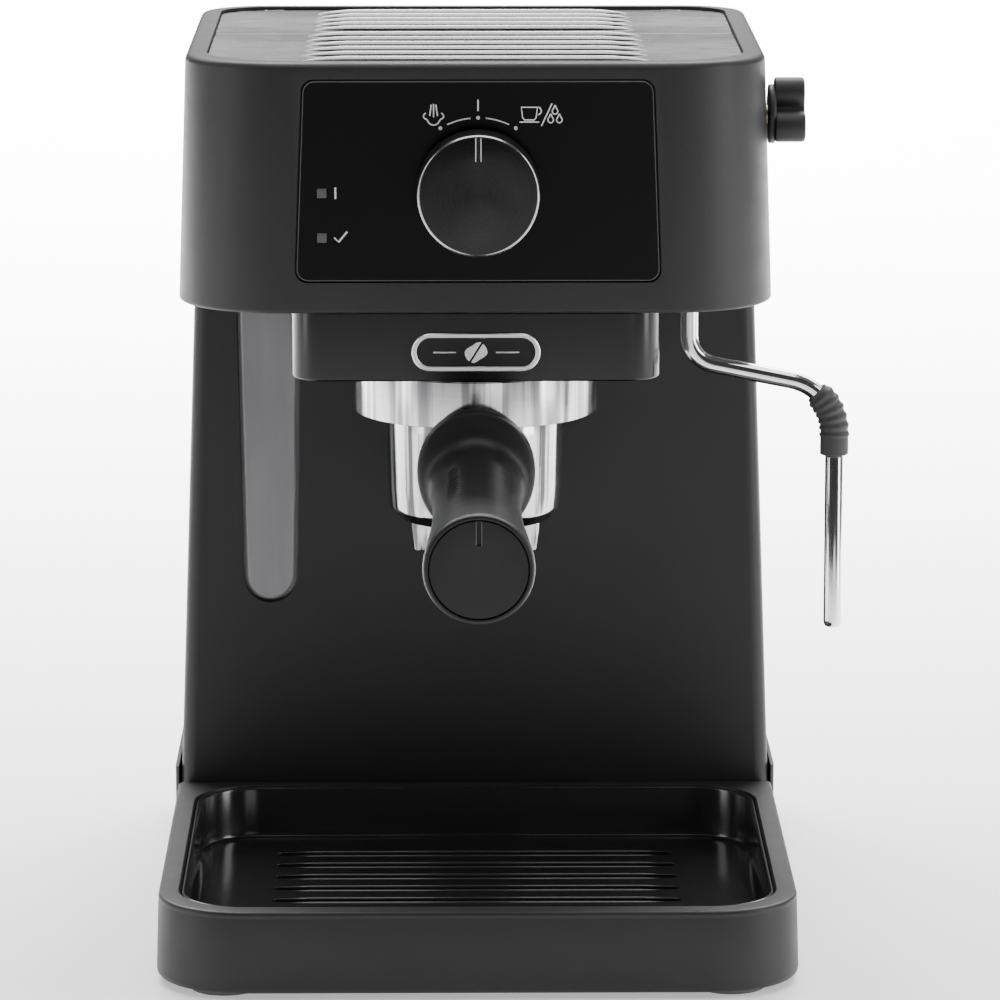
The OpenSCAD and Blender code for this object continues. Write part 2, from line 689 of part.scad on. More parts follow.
module cup_grille() placed() color("#0a0a0a") difference() {
    translate([0, 0, grille_z - 1.8]) linear_extrude(tray_h - 0.4 - grille_z + 1.8) {
        outline(basin_w, 8.3, 171.7, 21.9, 21.9);
    }
    translate([0, 0, grille_z]) linear_extrude(40) outline(basin_w - 3.2, 9.9, 170.1, 20.3, 20.3);
    for (k = [0 : 8]) translate([0, 23 + 15.56 * k, 0]) {
        block(-65.3, 65.3, -2.2, 2.2, 0, 20);
        for (s = [-1, 1]) translate([s * 65.3, 0, 0]) cylinder(h = 20, r = 2.2);
    }
}

// ---- Water tank ----

module tank_shelf() placed() color("#1a1a1a") difference() {
    union() {
        block(-95, -19.5, 183, 262, 78.6, 81);
        for (x = [-92, -24], y = [190, 252]) block(x, x + 4, y, y + 8, 4, 78.6);
        translate([spigot_x, spigot_y, 68]) cylinder(h = 15.6, r = 8);
    }
    translate([spigot_x, spigot_y, 60]) cylinder(h = 17, r = 4);
    translate([spigot_x, spigot_y, 80]) difference() {
        cylinder(h = 9, r = 6);
        translate([0, 0, -1]) cylinder(h = 4, r = 1.5);
    }
    translate([spigot_x + 3, spigot_y, 75]) cylinder(h = 9, r = 0.9);
}

module tank_outer(grow, z_low, z_step, z_top) {
    translate([(tank_x0 + tank_leg_x1) / 2, 0, z_low]) linear_extrude(z_top - z_low) {
        outline(tank_leg_x1 - tank_x0 + 2 * grow, tank_y0 - grow, tank_y1 + grow, 8 + grow, 8 + grow);
    }
    translate([0, 0, z_step]) linear_extrude(z_top - z_step) {
        outline(tank_x1 - tank_x0 + 2 * grow, tank_y0 - grow, tank_y1 + grow, 8 + grow, 8 + grow);
    }
}

module water_tank() placed() color("#7f8488") difference() {
    union() {
        tank_outer(0, tank_z0, tank_step_z, tank_top_z);
        for (x = notch_x) {
            block(x - 3, x + 3, tank_y1 - 4, hinge_y, lid_z0 - 0.6, hinge_z + 1);
            x_rod(hinge_y, hinge_z, x - 3, x + 3, pin_r + 1);
        }
    }
    difference() {
        tank_outer(-2.2, tank_z0 + 2.6, tank_step_z + 2.2, tank_top_z + 5);
        for (s = [-1, 1]) {
            block(spigot_x + s * 9 - 1, spigot_x + s * 9 + 1, spigot_y - 2, spigot_y + 2, 80, 101);
        }
        block(spigot_x - 10, spigot_x + 10, spigot_y - 2, spigot_y + 2, 98.9, 101);
    }
    translate([spigot_x, spigot_y, 80]) cylinder(h = 9, r = 4.05);
    x_rod(hinge_y, hinge_z, -90, 90, pin_r + 0.05);
}

module tank_plunger() placed() color("#dcdcdc") translate([spigot_x, spigot_y, 0]) {
    translate([0, 0, 84.2]) cylinder(h = 2.6, r = 4);
    translate([0, 0, 86.8]) cylinder(h = 2, r = 6.4);
}

module plunger_spring() placed() color("#9c9c9c") translate([spigot_x, spigot_y, 0]) {
    for (k = [0 : 3]) translate([0, 0, 89.3 + 3 * k]) rotate_extrude() translate([4, 0]) circle(0.45);
    for (a = [0, 180]) rotate([0, 0, a]) translate([4, 0, 89]) cylinder(h = 9.6, r = 0.3);
}

module tank_lid() placed() color("#1b1b1b") difference() {
    intersection() {
        head_outer(head_z, rim_z);
        block(-110, 110, split_y + 0.2, rear_y + 5, lid_z0, total_h);
    }
    translate([0, 0, plate_z - 0.8]) linear_extrude(9) outline(plate_w + 0.2, 150, plate_y1 + 0.1, 2, 16);
    for (x = notch_x) block(x - 3.3, x + 3.3, tank_y1 - 4.4, rear_y + 5, lid_z0 - 5, hinge_z + 2.4);
    x_rod(hinge_y, hinge_z, -76, 76, pin_r);
}

module lid_plate() placed() color("#8f9094") {
    translate([0, 0, plate_z - 0.8]) linear_extrude(0.8) outline(plate_w, split_y + 0.4, plate_y1, 1, 16);
    ribs(207.3, 13.1, 5, 110);
}

module lid_pins() placed() color("#b0b0b0") for (x = notch_x) x_rod(hinge_y, hinge_z, x - 6, x + 6, pin_r);

base_plate();
base_skirt();
rubber_feet();
column_shell();
back_cover();
back_screws();
level_window();
head_shell();
cup_warmer_plate();
control_panel();
indicator_lenses();
control_board();
selector_switch();
selector_knob();
group_cover();
badge();
group_ring();
group_gasket();
shower_screen();
shower_screw();
boiler_base();
boiler_gasket();
boiler_cap();
boiler_screws();
heating_element();
thermostats();
thermal_fuse();
pump_body();
pump_coil();
pump_mounts();
suction_hose();
pressure_hose();
steam_pipe();
steam_valve();
steam_spindle();
steam_knob();
wand_bushing();
steam_wand();
wand_sleeve();
frother_tube();
filter_bowl();
filter_basket();
basket_spring();
spout();
spout_screw();
handle();
handle_cap();
handle_bolt();
drip_tray();
cup_grille();
tank_shelf();
water_tank();
tank_plunger();
plunger_spring();
tank_lid();
lid_plate();
lid_pins();
power_bezel();
power_rocker();
cord_gland();
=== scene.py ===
"""Looks of the compact espresso machine: detailed shells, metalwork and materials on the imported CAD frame.

Shapes are drawn in millimetres on the machine's own grid: x = 0 on its middle plane, y = 0 at the drip
tray's front edge and z = 0 on the table. to_frame() turns them into metres in the frame's coordinates.
"""

import math

import bmesh
import bpy
from mathutils import Matrix, Vector


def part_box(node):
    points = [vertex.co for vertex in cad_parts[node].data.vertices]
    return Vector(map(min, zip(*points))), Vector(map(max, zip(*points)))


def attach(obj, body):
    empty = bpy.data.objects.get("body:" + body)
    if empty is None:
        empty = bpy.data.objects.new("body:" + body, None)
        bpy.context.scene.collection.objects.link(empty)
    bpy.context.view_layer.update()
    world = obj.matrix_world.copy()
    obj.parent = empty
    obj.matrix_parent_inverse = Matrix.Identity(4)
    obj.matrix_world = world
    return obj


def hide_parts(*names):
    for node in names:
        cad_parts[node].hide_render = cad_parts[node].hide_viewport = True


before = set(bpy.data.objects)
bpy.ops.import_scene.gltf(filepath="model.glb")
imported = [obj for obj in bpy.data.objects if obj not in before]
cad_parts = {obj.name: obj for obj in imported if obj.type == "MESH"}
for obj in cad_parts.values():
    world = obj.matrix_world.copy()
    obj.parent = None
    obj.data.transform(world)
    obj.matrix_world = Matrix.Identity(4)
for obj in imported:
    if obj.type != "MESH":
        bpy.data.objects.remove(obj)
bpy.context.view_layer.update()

MM = 0.001
TRAY_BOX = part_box("drip_tray")
MID_X = (TRAY_BOX[0].x + TRAY_BOX[1].x) / 2
FRONT_Y = TRAY_BOX[0].y

# The machine's main sizes, in millimetres.
HEAD_Z0 = 204.5
RIM_Z = 286.4
PLATE_Z = 285.2
HEAD_Y = 95.0
REAR_Y = 280.0
SPLIT_Y = 194.8
LID_Z = 280.0
COLUMN_Y = 178.0
COLUMN_Z0 = 8.0
WALL = 2.5
TRAY_H = 28.5
GRILLE_Z = 10.3
GROUP_Y = 137.0
KNOB_X = 0.7
KNOB_Z = 245.0
WAND_X = 70.6
WAND_Y = 122.0
FROTHER_X = 119.0
WAND_R = 2.9
TAP_Y = 138.0
TAP_Z = 264.7
WINDOW_X = -70.0
SPOUT_X = 17.4
SLOT_Y = 23.0
SLOT_PITCH = 15.56
SLOT_COUNT = 9
SLOT_HALF = 65.3
SELECTOR_R = 20.1
MARK_R = 23.7
ARM_SLOPE = math.radians(11.5)


# ---------------------------------------------------------------- materials


class Nodes:
    """A node tree being wired for one material."""

    def __init__(self, name):
        self.mat = bpy.data.materials.new(name)
        self.mat.use_nodes = True
        self.tree = self.mat.node_tree
        self.bsdf = self.tree.nodes["Principled BSDF"]
        self.coords = self.add("ShaderNodeTexCoord").outputs["Object"]

    def add(self, kind, **values):
        node = self.tree.nodes.new(kind)
        for key, value in values.items():
            setattr(node, key, value)
        return node

    def link(self, source, target):
        self.tree.links.new(source, target)

    def stretched(self, scale):
        mapping = self.add("ShaderNodeMapping")
        mapping.inputs["Scale"].default_value = scale
        self.link(self.coords, mapping.inputs["Vector"])
        return mapping.outputs["Vector"]

    def noise(self, scale, vector=None, detail=3.0, roughness=0.55):
        node = self.add("ShaderNodeTexNoise")
        node.inputs["Scale"].default_value = scale
        node.inputs["Detail"].default_value = detail
        node.inputs["Roughness"].default_value = roughness
        self.link(vector or self.coords, node.inputs["Vector"])
        return node.outputs["Fac"]

    def ramp(self, source, low, high, start=0.3, end=0.7):
        node = self.add("ShaderNodeMapRange")
        node.inputs["From Min"].default_value = start
        node.inputs["From Max"].default_value = end
        node.inputs["To Min"].default_value = low
        node.inputs["To Max"].default_value = high
        self.link(source, node.inputs["Value"])
        return node.outputs["Result"]

    def colours(self, source, low, high, start=0.3, end=0.7):
        node = self.add("ShaderNodeValToRGB")
        node.color_ramp.elements[0].position = start
        node.color_ramp.elements[0].color = (*low, 1)
        node.color_ramp.elements[1].position = end
        node.color_ramp.elements[1].color = (*high, 1)
        self.link(source, node.inputs["Fac"])
        return node.outputs["Color"]

    def bump(self, heights, strength, distance):
        """Adds one bump after another; heights is a list of (socket, strength factor)."""
        last = None
        for height, factor in heights:
            node = self.add("ShaderNodeBump")
            node.inputs["Strength"].default_value = strength * factor
            node.inputs["Distance"].default_value = distance
            self.link(height, node.inputs["Height"])
            if last:
                self.link(last, node.inputs["Normal"])
            last = node.outputs["Normal"]
        self.link(last, self.bsdf.inputs["Normal"])

    def worn(self, base, edge, amount=0.5):
        """Mixes a lighter colour in along convex edges, where hands and cloths rub."""
        geometry = self.add("ShaderNodeNewGeometry")
        rub = self.ramp(geometry.outputs["Pointiness"], 0.0, amount, 0.52, 0.62)
        mix = self.add("ShaderNodeMix", data_type="RGBA")
        self.link(rub, mix.inputs["Factor"])
        self.link(base, mix.inputs["A"])
        mix.inputs["B"].default_value = (*edge, 1)
        self.link(mix.outputs["Result"], self.bsdf.inputs["Base Color"])


def grey(value):
    return (value, value, value * 1.03)


def plastic(name, shade, rough, grain, grain_scale=2600, rub=0.35, specular=0.5):
    """Moulded plastic: fine spark grain, faint flow marks and slightly rubbed edges."""
    n = Nodes(name)
    flow = n.noise(34, detail=4)
    n.worn(n.colours(flow, grey(shade * 0.95), grey(shade * 1.05)), grey(shade * 1.9), rub)
    smear_and_sheen = n.noise(120, detail=5)
    n.link(n.ramp(smear_and_sheen, rough * 0.95, rough * 1.05), n.bsdf.inputs["Roughness"])
    n.bsdf.inputs["Specular IOR Level"].default_value = specular
    spark = n.noise(grain_scale, detail=2)
    waves = n.noise(18, detail=1)
    n.bump([(spark, 1.0), (waves, 0.12)], grain, 0.0002)
    return n.mat


def metal(name, shade, rough, stretch, lines, anisotropic=0.0, tint=(1, 1, 1.01), line_scale=900,
          streaks=1.0):
    """Bare metal with turned or brushed lines; stretch squeezes the line texture along one axis.

    Streaks below 1 multiply darker upright bands into the colour: painted reflection, the dark streaks that
    a polished turned wall mirrors from its surroundings.
    """
    n = Nodes(name)
    fine = n.noise(line_scale, n.stretched(stretch), detail=4, roughness=0.7)
    low = tuple(shade * 0.93 * t for t in tint)
    high = tuple(min(1, shade * 1.05 * t) for t in tint)
    colour = n.colours(fine, low, high)
    if streaks < 1:
        # painted reflection: long upright noise bands darken the colour where a polished wall would mirror
        # dark surroundings
        smear_and_sheen = n.noise(210, n.stretched((1, 1, 0.03)), detail=3, roughness=0.6)
        shadow = n.add("ShaderNodeMix", data_type="RGBA", blend_type="MULTIPLY")
        shadow.inputs["Factor"].default_value = 1.0
        n.link(colour, shadow.inputs["A"])
        n.link(n.colours(smear_and_sheen, grey(streaks), (1, 1, 1), 0.42, 0.55), shadow.inputs["B"])
        colour = shadow.outputs["Result"]
    n.link(colour, n.bsdf.inputs["Base Color"])
    n.bsdf.inputs["Metallic"].default_value = 1.0
    cloud = n.noise(60, detail=4)
    spread = n.add("ShaderNodeMath", operation="MULTIPLY")
    n.link(n.ramp(cloud, rough * 0.94, rough * 1.06), spread.inputs[0])
    n.link(n.ramp(fine, 0.9, 1.1), spread.inputs[1])
    n.link(spread.outputs["Value"], n.bsdf.inputs["Roughness"])
    n.bsdf.inputs["Anisotropic"].default_value = anisotropic
    n.bump([(fine, 1.0)], lines, 0.0001)
    return n.mat


def smoked(name, shade, rough, alpha):
    """Smoky translucent plastic of the tank and the level window, with faint flow streaks."""
    n = Nodes(name)
    streak = n.noise(90, n.stretched((1, 1, 0.15)), detail=3)
    n.link(n.colours(streak, grey(shade * 0.9), grey(shade * 1.1)), n.bsdf.inputs["Base Color"])
    n.link(n.ramp(streak, rough * 0.8, rough * 1.2), n.bsdf.inputs["Roughness"])
    n.bsdf.inputs["Transmission Weight"].default_value = alpha
    n.bsdf.inputs["IOR"].default_value = 1.49
    n.bump([(streak, 1.0)], 0.05, 0.0002)
    return n.mat


def turned_face(name, shade, rough):
    """The selector's spun face: rings round its own axis that catch the light as two fans."""
    n = Nodes(name)
    place = n.add("ShaderNodeVectorMath", operation="SUBTRACT")
    n.link(n.coords, place.inputs[0])
    place.inputs[1].default_value = to_frame((KNOB_X, 0, KNOB_Z))
    flat = n.add("ShaderNodeMapping")
    flat.inputs["Scale"].default_value = (1, 0, 1)
    n.link(place.outputs["Vector"], flat.inputs["Vector"])
    reach = n.add("ShaderNodeVectorMath", operation="LENGTH")
    n.link(flat.outputs["Vector"], reach.inputs[0])
    rings = n.add("ShaderNodeTexNoise", noise_dimensions="1D")
    rings.inputs["Scale"].default_value = 4200
    rings.inputs["Detail"].default_value = 3
    n.link(reach.outputs["Value"], rings.inputs["W"])
    shades = n.colours(rings.outputs["Fac"], grey(shade * 0.8), grey(shade * 1.2))
    n.link(shades, n.bsdf.inputs["Base Color"])
    n.bsdf.inputs["Metallic"].default_value = 0.75
    n.link(n.ramp(rings.outputs["Fac"], rough * 0.85, rough * 1.15), n.bsdf.inputs["Roughness"])
    n.bsdf.inputs["Anisotropic"].default_value = 0.85
    tangent = n.add("ShaderNodeVectorMath", operation="CROSS_PRODUCT")
    tangent.inputs[1].default_value = (0, 1, 0)
    n.link(flat.outputs["Vector"], tangent.inputs[0])
    unit = n.add("ShaderNodeVectorMath", operation="NORMALIZE")
    n.link(tangent.outputs["Vector"], unit.inputs[0])
    n.link(unit.outputs["Vector"], n.bsdf.inputs["Tangent"])
    n.bump([(rings.outputs["Fac"], 1.0)], 0.12, 0.0001)
    return n.mat


def to_frame(point):
    x, y, z = point
    return Vector((MID_X + x * MM, FRONT_Y + y * MM, z * MM))


MATERIALS = {
    "matt": plastic("matt_black_plastic", 0.018, 0.50, 0.22, specular=0.36),
    "tray": plastic("tray_black_plastic", 0.022, 0.46, 0.18, specular=0.32),
    "column": plastic("column_black_plastic", 0.017, 0.44, 0.02, rub=0.04, specular=0.32),
    "gloss": plastic("gloss_black_plastic", 0.006, 0.17, 0.012, rub=0.15, specular=0.35),
    "basin": plastic("basin_gloss_black", 0.016, 0.17, 0.012, specular=0.8),
    # lighter than the basin's plastic: painted highlight on the slot lips, together with a real stronger
    # specular
    "lip": plastic("slot_lip_black_painted_highlight", 0.035, 0.16, 0.01, specular=1.0),
    "panel": plastic("panel_gloss_black", 0.002, 0.20, 0.01, specular=0.16),
    "handle": plastic("handle_black_plastic", 0.012, 0.42, 0.15, specular=0.32),
    "skirt": plastic("knob_black_plastic", 0.010, 0.34, 0.05, specular=0.4),
    "rubber": plastic("black_rubber", 0.05, 0.55, 0.3, grain_scale=1500, specular=0.35),
    "foot": plastic("grey_rubber", 0.16, 0.7, 0.35, grain_scale=1300, specular=0.3),
    "seal": plastic("red_silicone", 0.12, 0.6, 0.2, specular=0.3),
    "ivory": plastic("ivory_nylon", 0.55, 0.5, 0.12),
    "hose": plastic("milky_silicone", 0.6, 0.35, 0.08),
    "board": plastic("green_board", 0.06, 0.35, 0.05),
    "print": plastic("printed_marks", 0.80, 0.5, 0.05),
    "lens": plastic("unlit_lens", 0.075, 0.35, 0.1),
    # ring and bowl: streaks below 1 paint dark upright reflection bands into the colour
    "ring": metal("turned_alloy", 0.78, 0.16, (0.05, 0.05, 1.0), 0.10, 0.35, streaks=0.42),
    "bowl": metal("polished_alloy", 0.66, 0.10, (0.05, 0.05, 1.0), 0.05, 0.3, streaks=0.16),
    "chrome": metal("polished_steel", 0.92, 0.15, (1, 1, 0.08), 0.02),
    "badge": metal("satin_badge", 0.95, 0.34, (0.1, 1, 1), 0.05),
    "rim": metal("dark_bright_rim", 0.42, 0.20, (1, 1, 1), 0.04),
    "plate": metal("brushed_plate", 0.30, 0.27, (0.04, 1.0, 1.0), 0.08, 0.4),
    "steel": metal("pressed_steel", 0.58, 0.28, (1, 1, 1), 0.08),
    "cast": metal("cast_alloy", 0.50, 0.42, (1, 1, 1), 0.4, line_scale=500),
    "brass": metal("turned_brass", 0.60, 0.28, (1, 1, 1), 0.08, tint=(1.05, 0.82, 0.42)),
    "copper": metal("copper_winding", 0.55, 0.35, (1, 0.1, 0.1), 0.5, tint=(1.1, 0.55, 0.28)),
    "smoked": smoked("smoked_plastic", 0.44, 0.20, 0.55),
    "tank": smoked("tank_plastic", 0.60, 0.16, 0.85),
    "dial": turned_face("spun_dial", 0.024, 0.30),
}


# ---------------------------------------------------------------- mesh helpers


def outline(w, y0, y1, rf, rr, steps=14):
    """A rounded outline seen from above, counter-clockwise, with front radius rf and rear radius rr."""
    h = w / 2
    corners = [
        (h - rf, y0 + rf, rf, -90),
        (h - rr, y1 - rr, rr, 0),
        (-h + rr, y1 - rr, rr, 90),
        (-h + rf, y0 + rf, rf, 180),
    ]
    points = []
    for cx, cy, r, start in corners:
        for i in range(steps + 1):
            a = math.radians(start + 90 * i / steps)
            points.append((cx + r * math.cos(a), cy + r * math.sin(a)))
    return points


def shrunk(w, y0, y1, rf, rr, inset, steps=14):
    return outline(
        w - 2 * inset, y0 + inset, y1 - inset, max(rf - inset, 0.2), max(rr - inset, 0.2), steps
    )


def mesh_piece(name, bm, material, body, replaced=(), smooth=32, edge=0.0, segments=2):
    """Turns a bmesh in machine millimetres into a finished piece that rides on a body."""
    for v in bm.verts:
        v.co = to_frame(v.co)
    bmesh.ops.recalc_face_normals(bm, faces=bm.faces)
    mesh = bpy.data.meshes.new(name)
    bm.to_mesh(mesh)
    bm.free()
    for face in mesh.polygons:
        face.use_smooth = True
    mesh.set_sharp_from_angle(angle=math.radians(smooth))
    mesh.materials.append(MATERIALS[material])
    piece = bpy.data.objects.new(name, mesh)
    bpy.context.scene.collection.objects.link(piece)
    if edge:
        bevel = piece.modifiers.new("edges", "BEVEL")
        bevel.width = edge * MM
        bevel.segments = segments
        bevel.limit_method = "ANGLE"
        bevel.angle_limit = math.radians(34)
        bevel.harden_normals = True
    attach(piece, body)
    if replaced:
        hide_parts(*replaced)
    return piece


def loft(rings, closed_path=False):
    """A skin through rings of 3-D points, one quad strip between neighbours, capped at both ends."""
    bm = bmesh.new()
    rows = [[bm.verts.new(p) for p in ring] for ring in rings]
    count = len(rows[0])
    pairs = list(zip(rows, rows[1:]))
    if closed_path:
        pairs.append((rows[-1], rows[0]))
    for lower, upper in pairs:
        for i in range(count):
            j = (i + 1) % count
            bm.faces.new((lower[i], lower[j], upper[j], upper[i]))
    if not closed_path:
        bm.faces.new(rows[0][::-1])
        bm.faces.new(rows[-1])
    return bm


def flat_rings(profile, shape):
    """Rings for loft(): profile is a list of (inset, z) and shape(inset, z) gives the outline there."""
    return [[(x, y, z) for x, y in shape(inset, z)] for inset, z in profile]


def fillet(r, z, up, steps=5):
    """Profile points (inset, z) of a rounded edge of radius r that ends at height z."""
    points = []
    for i in range(steps + 1):
        a = math.radians(90 * i / steps)
        if up:
            points.append((r * (1 - math.cos(a)), z - r + r * math.sin(a)))
        else:
            points.append((r * (1 - math.sin(a)), z + r - r * math.cos(a)))
    return points


def box_bm(x0, x1, y0, y1, z0, z1):
    bm = bmesh.new()
    bmesh.ops.create_cube(bm, size=1)
    for v in bm.verts:
        v.co = Vector((
            x0 if v.co.x < 0 else x1, y0 if v.co.y < 0 else y1, z0 if v.co.z < 0 else z1
        ))
    return bm


def rod_bm(start, end, r0, r1=None, segments=48):
    """A rod between two points, as a cone if it has a second radius."""
    start = Vector(start)
    end = Vector(end)
    axis = end - start
    turn = axis.to_track_quat("Z", "Y").to_matrix().to_4x4()
    bm = bmesh.new()
    bmesh.ops.create_cone(
        bm, cap_ends=True, segments=segments, radius1=r0, radius2=r0 if r1 is None else r1,
        depth=axis.length, matrix=Matrix.Translation((start + end) / 2) @ turn
    )
    return bm


def lathe(profile, centre, axis="Z", steps=96):
    """A turned body: profile is a list of (radius, height), closed when it ends away from the axis."""
    bm = bmesh.new()
    rows = []
    for r, h in profile:
        row = []
        for i in range(steps):
            a = 2 * math.pi * i / steps
            row.append(bm.verts.new((r * math.cos(a), r * math.sin(a), h)))
        rows.append(row)
    for lower, upper in zip(rows, rows[1:]):
        for i in range(steps):
            j = (i + 1) % steps
            bm.faces.new((lower[i], lower[j], upper[j], upper[i]))
    bm.faces.new(rows[0][::-1])
    bm.faces.new(rows[-1])
    turn = {
        "Z": Matrix.Identity(4),
        "-Y": Matrix.Rotation(math.radians(90), 4, "X"),
        "X": Matrix.Rotation(math.radians(90), 4, "Y"),
    }[axis]
    bmesh.ops.transform(bm, matrix=Matrix.Translation(centre) @ turn, verts=bm.verts)
    return bm


def ring_lathe(profile, centre, axis="Z", steps=96):
    """A turned ring: its closed profile never touches the axis."""
    bm = bmesh.new()
    rows = []
    for r, h in profile:
        row = []
        for i in range(steps):
            a = 2 * math.pi * i / steps
            row.append(bm.verts.new((r * math.cos(a), r * math.sin(a), h)))
        rows.append(row)
    for lower, upper in zip(rows, rows[1:] + rows[:1]):
        for i in range(steps):
            j = (i + 1) % steps
            bm.faces.new((lower[i], lower[j], upper[j], upper[i]))
    bmesh.ops.transform(bm, matrix=Matrix.Translation(centre), verts=bm.verts)
    return bm


def rounded(profile, radius, steps=5):
    """Rounds each inner corner of an open profile with a short arc."""
    points = [Vector((*profile[0], 0))]
    for before, here, after in zip(profile, profile[1:], profile[2:]):
        a = Vector((*before, 0))
        b = Vector((*here, 0))
        c = Vector((*after, 0))
        cut = min(radius, (a - b).length * 0.45, (c - b).length * 0.45)
        p = b + (a - b).normalized() * cut
        q = b + (c - b).normalized() * cut
        for i in range(steps + 1):
            t = i / steps
            points.append(p.lerp(b, t).lerp(b.lerp(q, t), t))
    points.append(Vector((*profile[-1], 0)))
    return [(p.x, p.y) for p in points]


def slab_xz(shape, y0, y1):
    """A flat plate in the x-z plane: shape is a list of (x, z), from depth y0 to y1."""
    return loft([[(x, y0, z) for x, z in shape], [(x, y1, z) for x, z in shape]])


def sweep(path, radius, sides=28):
    """A round tube along a list of points; radius is a number or one value for each point."""
    points = [Vector(p) for p in path]
    radii = radius if isinstance(radius, list) else [radius] * len(points)
    up = Vector((0, 1, 0))
    rings = []
    for i, p in enumerate(points):
        ahead = points[min(i + 1, len(points) - 1)] - points[max(i - 1, 0)]
        ahead.normalize()
        side = up.cross(ahead).normalized()
        rise = ahead.cross(side)
        ring = []
        for k in range(sides):
            a = 2 * math.pi * k / sides
            ring.append(p + (side * math.cos(a) + rise * math.sin(a)) * radii[i])
        rings.append(ring)
    return loft(rings)


def cut(bm, cutters):
    """Subtracts closed meshes from another with Blender's exact boolean."""
    target = bpy.data.objects.new("cut_target", bpy.data.meshes.new("cut_target"))
    bmesh.ops.recalc_face_normals(bm, faces=bm.faces)
    bm.to_mesh(target.data)
    bm.free()
    bpy.context.scene.collection.objects.link(target)
    helpers = []
    for cutter in cutters:
        helper = bpy.data.objects.new("cutter", bpy.data.meshes.new("cutter"))
        bmesh.ops.recalc_face_normals(cutter, faces=cutter.faces)
        cutter.to_mesh(helper.data)
        cutter.free()
        bpy.context.scene.collection.objects.link(helper)
        helpers.append(helper)
        difference = target.modifiers.new("cut", "BOOLEAN")
        difference.operation = "DIFFERENCE"
        difference.solver = "EXACT"
        difference.object = helper
    result = evaluated(target)
    for thing in [target, *helpers]:
        data = thing.data
        bpy.data.objects.remove(thing)
        bpy.data.meshes.remove(data)
    return result


def evaluated(thing):
    bpy.context.view_layer.update()
    graph = bpy.context.evaluated_depsgraph_get()
    bm = bmesh.new()
    bm.from_object(thing, graph)
    return bm


def joined(parts):
    """One bmesh that holds several, without welding them."""
    whole = bmesh.new()
    for part in parts:
        data = bpy.data.meshes.new("joined")
        part.to_mesh(data)
        part.free()
        whole.from_mesh(data)
        bpy.data.meshes.remove(data)
    return whole


# ---------------------------------------------------------------- housing


def head_width(z):
    return 196.3 + (190.7 - 196.3) * (z - HEAD_Z0) / (RIM_Z - HEAD_Z0)


def column_width(z):
    return 202.7 + (190.3 - 202.7) * (z - TRAY_H) / (204.3 - TRAY_H)


def head_outline(inset, z):
    return shrunk(head_width(z), HEAD_Y, REAR_Y, 35, 22, inset)


def column_outline(inset, z):
    return shrunk(column_width(z), COLUMN_Y, REAR_Y, 5, 20, inset)


def cover_outline(inset, z):
    return shrunk(120.7, 97, 177.8, 11, 1, inset)


def pocket(y0, y1, front_r, rear_r):
    """The shallow recess that a top plate lies in."""
    return loft(flat_rings(
        [(0, PLATE_Z - 0.8), (0, 300)], lambda i, z: outline(176.5, y0, y1, front_r, rear_r)
    ))


def head_block():
    """The head's outer form from its underside to its rim, with rounded lower and upper edges."""
    return loft(flat_rings(fillet(1.4, HEAD_Z0, False) + fillet(2.4, RIM_Z, True), head_outline))


def panel_shape(grow, radius=4.0):
    """The control panel's outline in x and z, a little wider at its foot."""
    points = []
    corners = [(59.25, 215.1, -90, 1), (57.0, 280.8, 0, 1), (57.0, 280.8, 90, -1), (59.25, 215.1, 180, -1)]
    for half, z, start, side in corners:
        low = z < KNOB_Z
        cx = KNOB_X + side * (half + grow - radius)
        cz = z - grow + radius if low else z + grow - radius
        for i in range(9):
            a = math.radians(start + 90 * i / 8)
            points.append((cx + radius * math.cos(a), cz + radius * math.sin(a)))
    return points


def build_head():
    hollow = loft(flat_rings([(WALL, HEAD_Z0 + WALL), (WALL, RIM_Z - 3.6)], head_outline))
    tank_well = loft(flat_rings([(0, 230), (0, 300)], lambda i, z: outline(180, 197.5, 277.5, 3, 17)))
    cutters = [
        hollow,
        box_bm(-110, 110, SPLIT_Y, REAR_Y + 9, LID_Z - 0.3, 300),
        box_bm(-110, 110, REAR_Y - 8, REAR_Y + 9, LID_Z - 1.2, 300),
        tank_well,
        pocket(102.5, 230, 28, 2),
        slab_xz(panel_shape(0.35), HEAD_Y - 5, HEAD_Y + 1.6),
        loft(flat_rings([(0, 200), (0, 208)], lambda i, z: outline(184, COLUMN_Y + WALL, 277, 3, 20))),
        rod_bm((0, GROUP_Y, 200), (0, GROUP_Y, 208), 40.3),
        rod_bm((WAND_X, WAND_Y, 200), (WAND_X, WAND_Y, 208), 7.05),
        rod_bm((KNOB_X, HEAD_Y - 5, KNOB_Z), (KNOB_X, HEAD_Y + 8, KNOB_Z), 5),
        rod_bm((80, TAP_Y, TAP_Z), (110, TAP_Y, TAP_Z), 4),
    ]
    mesh_piece(
        "head", cut(head_block(), cutters), "matt", "housing", ["head_shell"], edge=0.35
    )


def window_shape(grow):
    """The level window's outline in x and z: a round foot and sides that widen upwards."""
    cx = WINDOW_X
    cz = 100.7
    r = 8.1 + grow
    return arc(cx, cz, r, 180, 360) + [(cx + 10.2 + grow, 204.0), (cx - 10.2 - grow, 204.0)]


def build_column():
    profile = [(0.8, COLUMN_Z0), (0, COLUMN_Z0 + 0.8), (0, 60), (0, 130), (0, 204.3)]
    shell = loft(flat_rings(profile, column_outline))
    hollow = loft(flat_rings([(WALL, 0), (WALL, 210)], column_outline))
    cutters = [
        hollow,
        slab_xz([(x, 210 if z > 203 else z) for x, z in window_shape(0.9)], 170, 190),
        box_bm(-74.3, 74.3, 270, 290, 0, 210),
    ]
    column = cut(shell, cutters)
    mesh_piece("column", column, "column", "housing", ["column_shell"], edge=0.4)


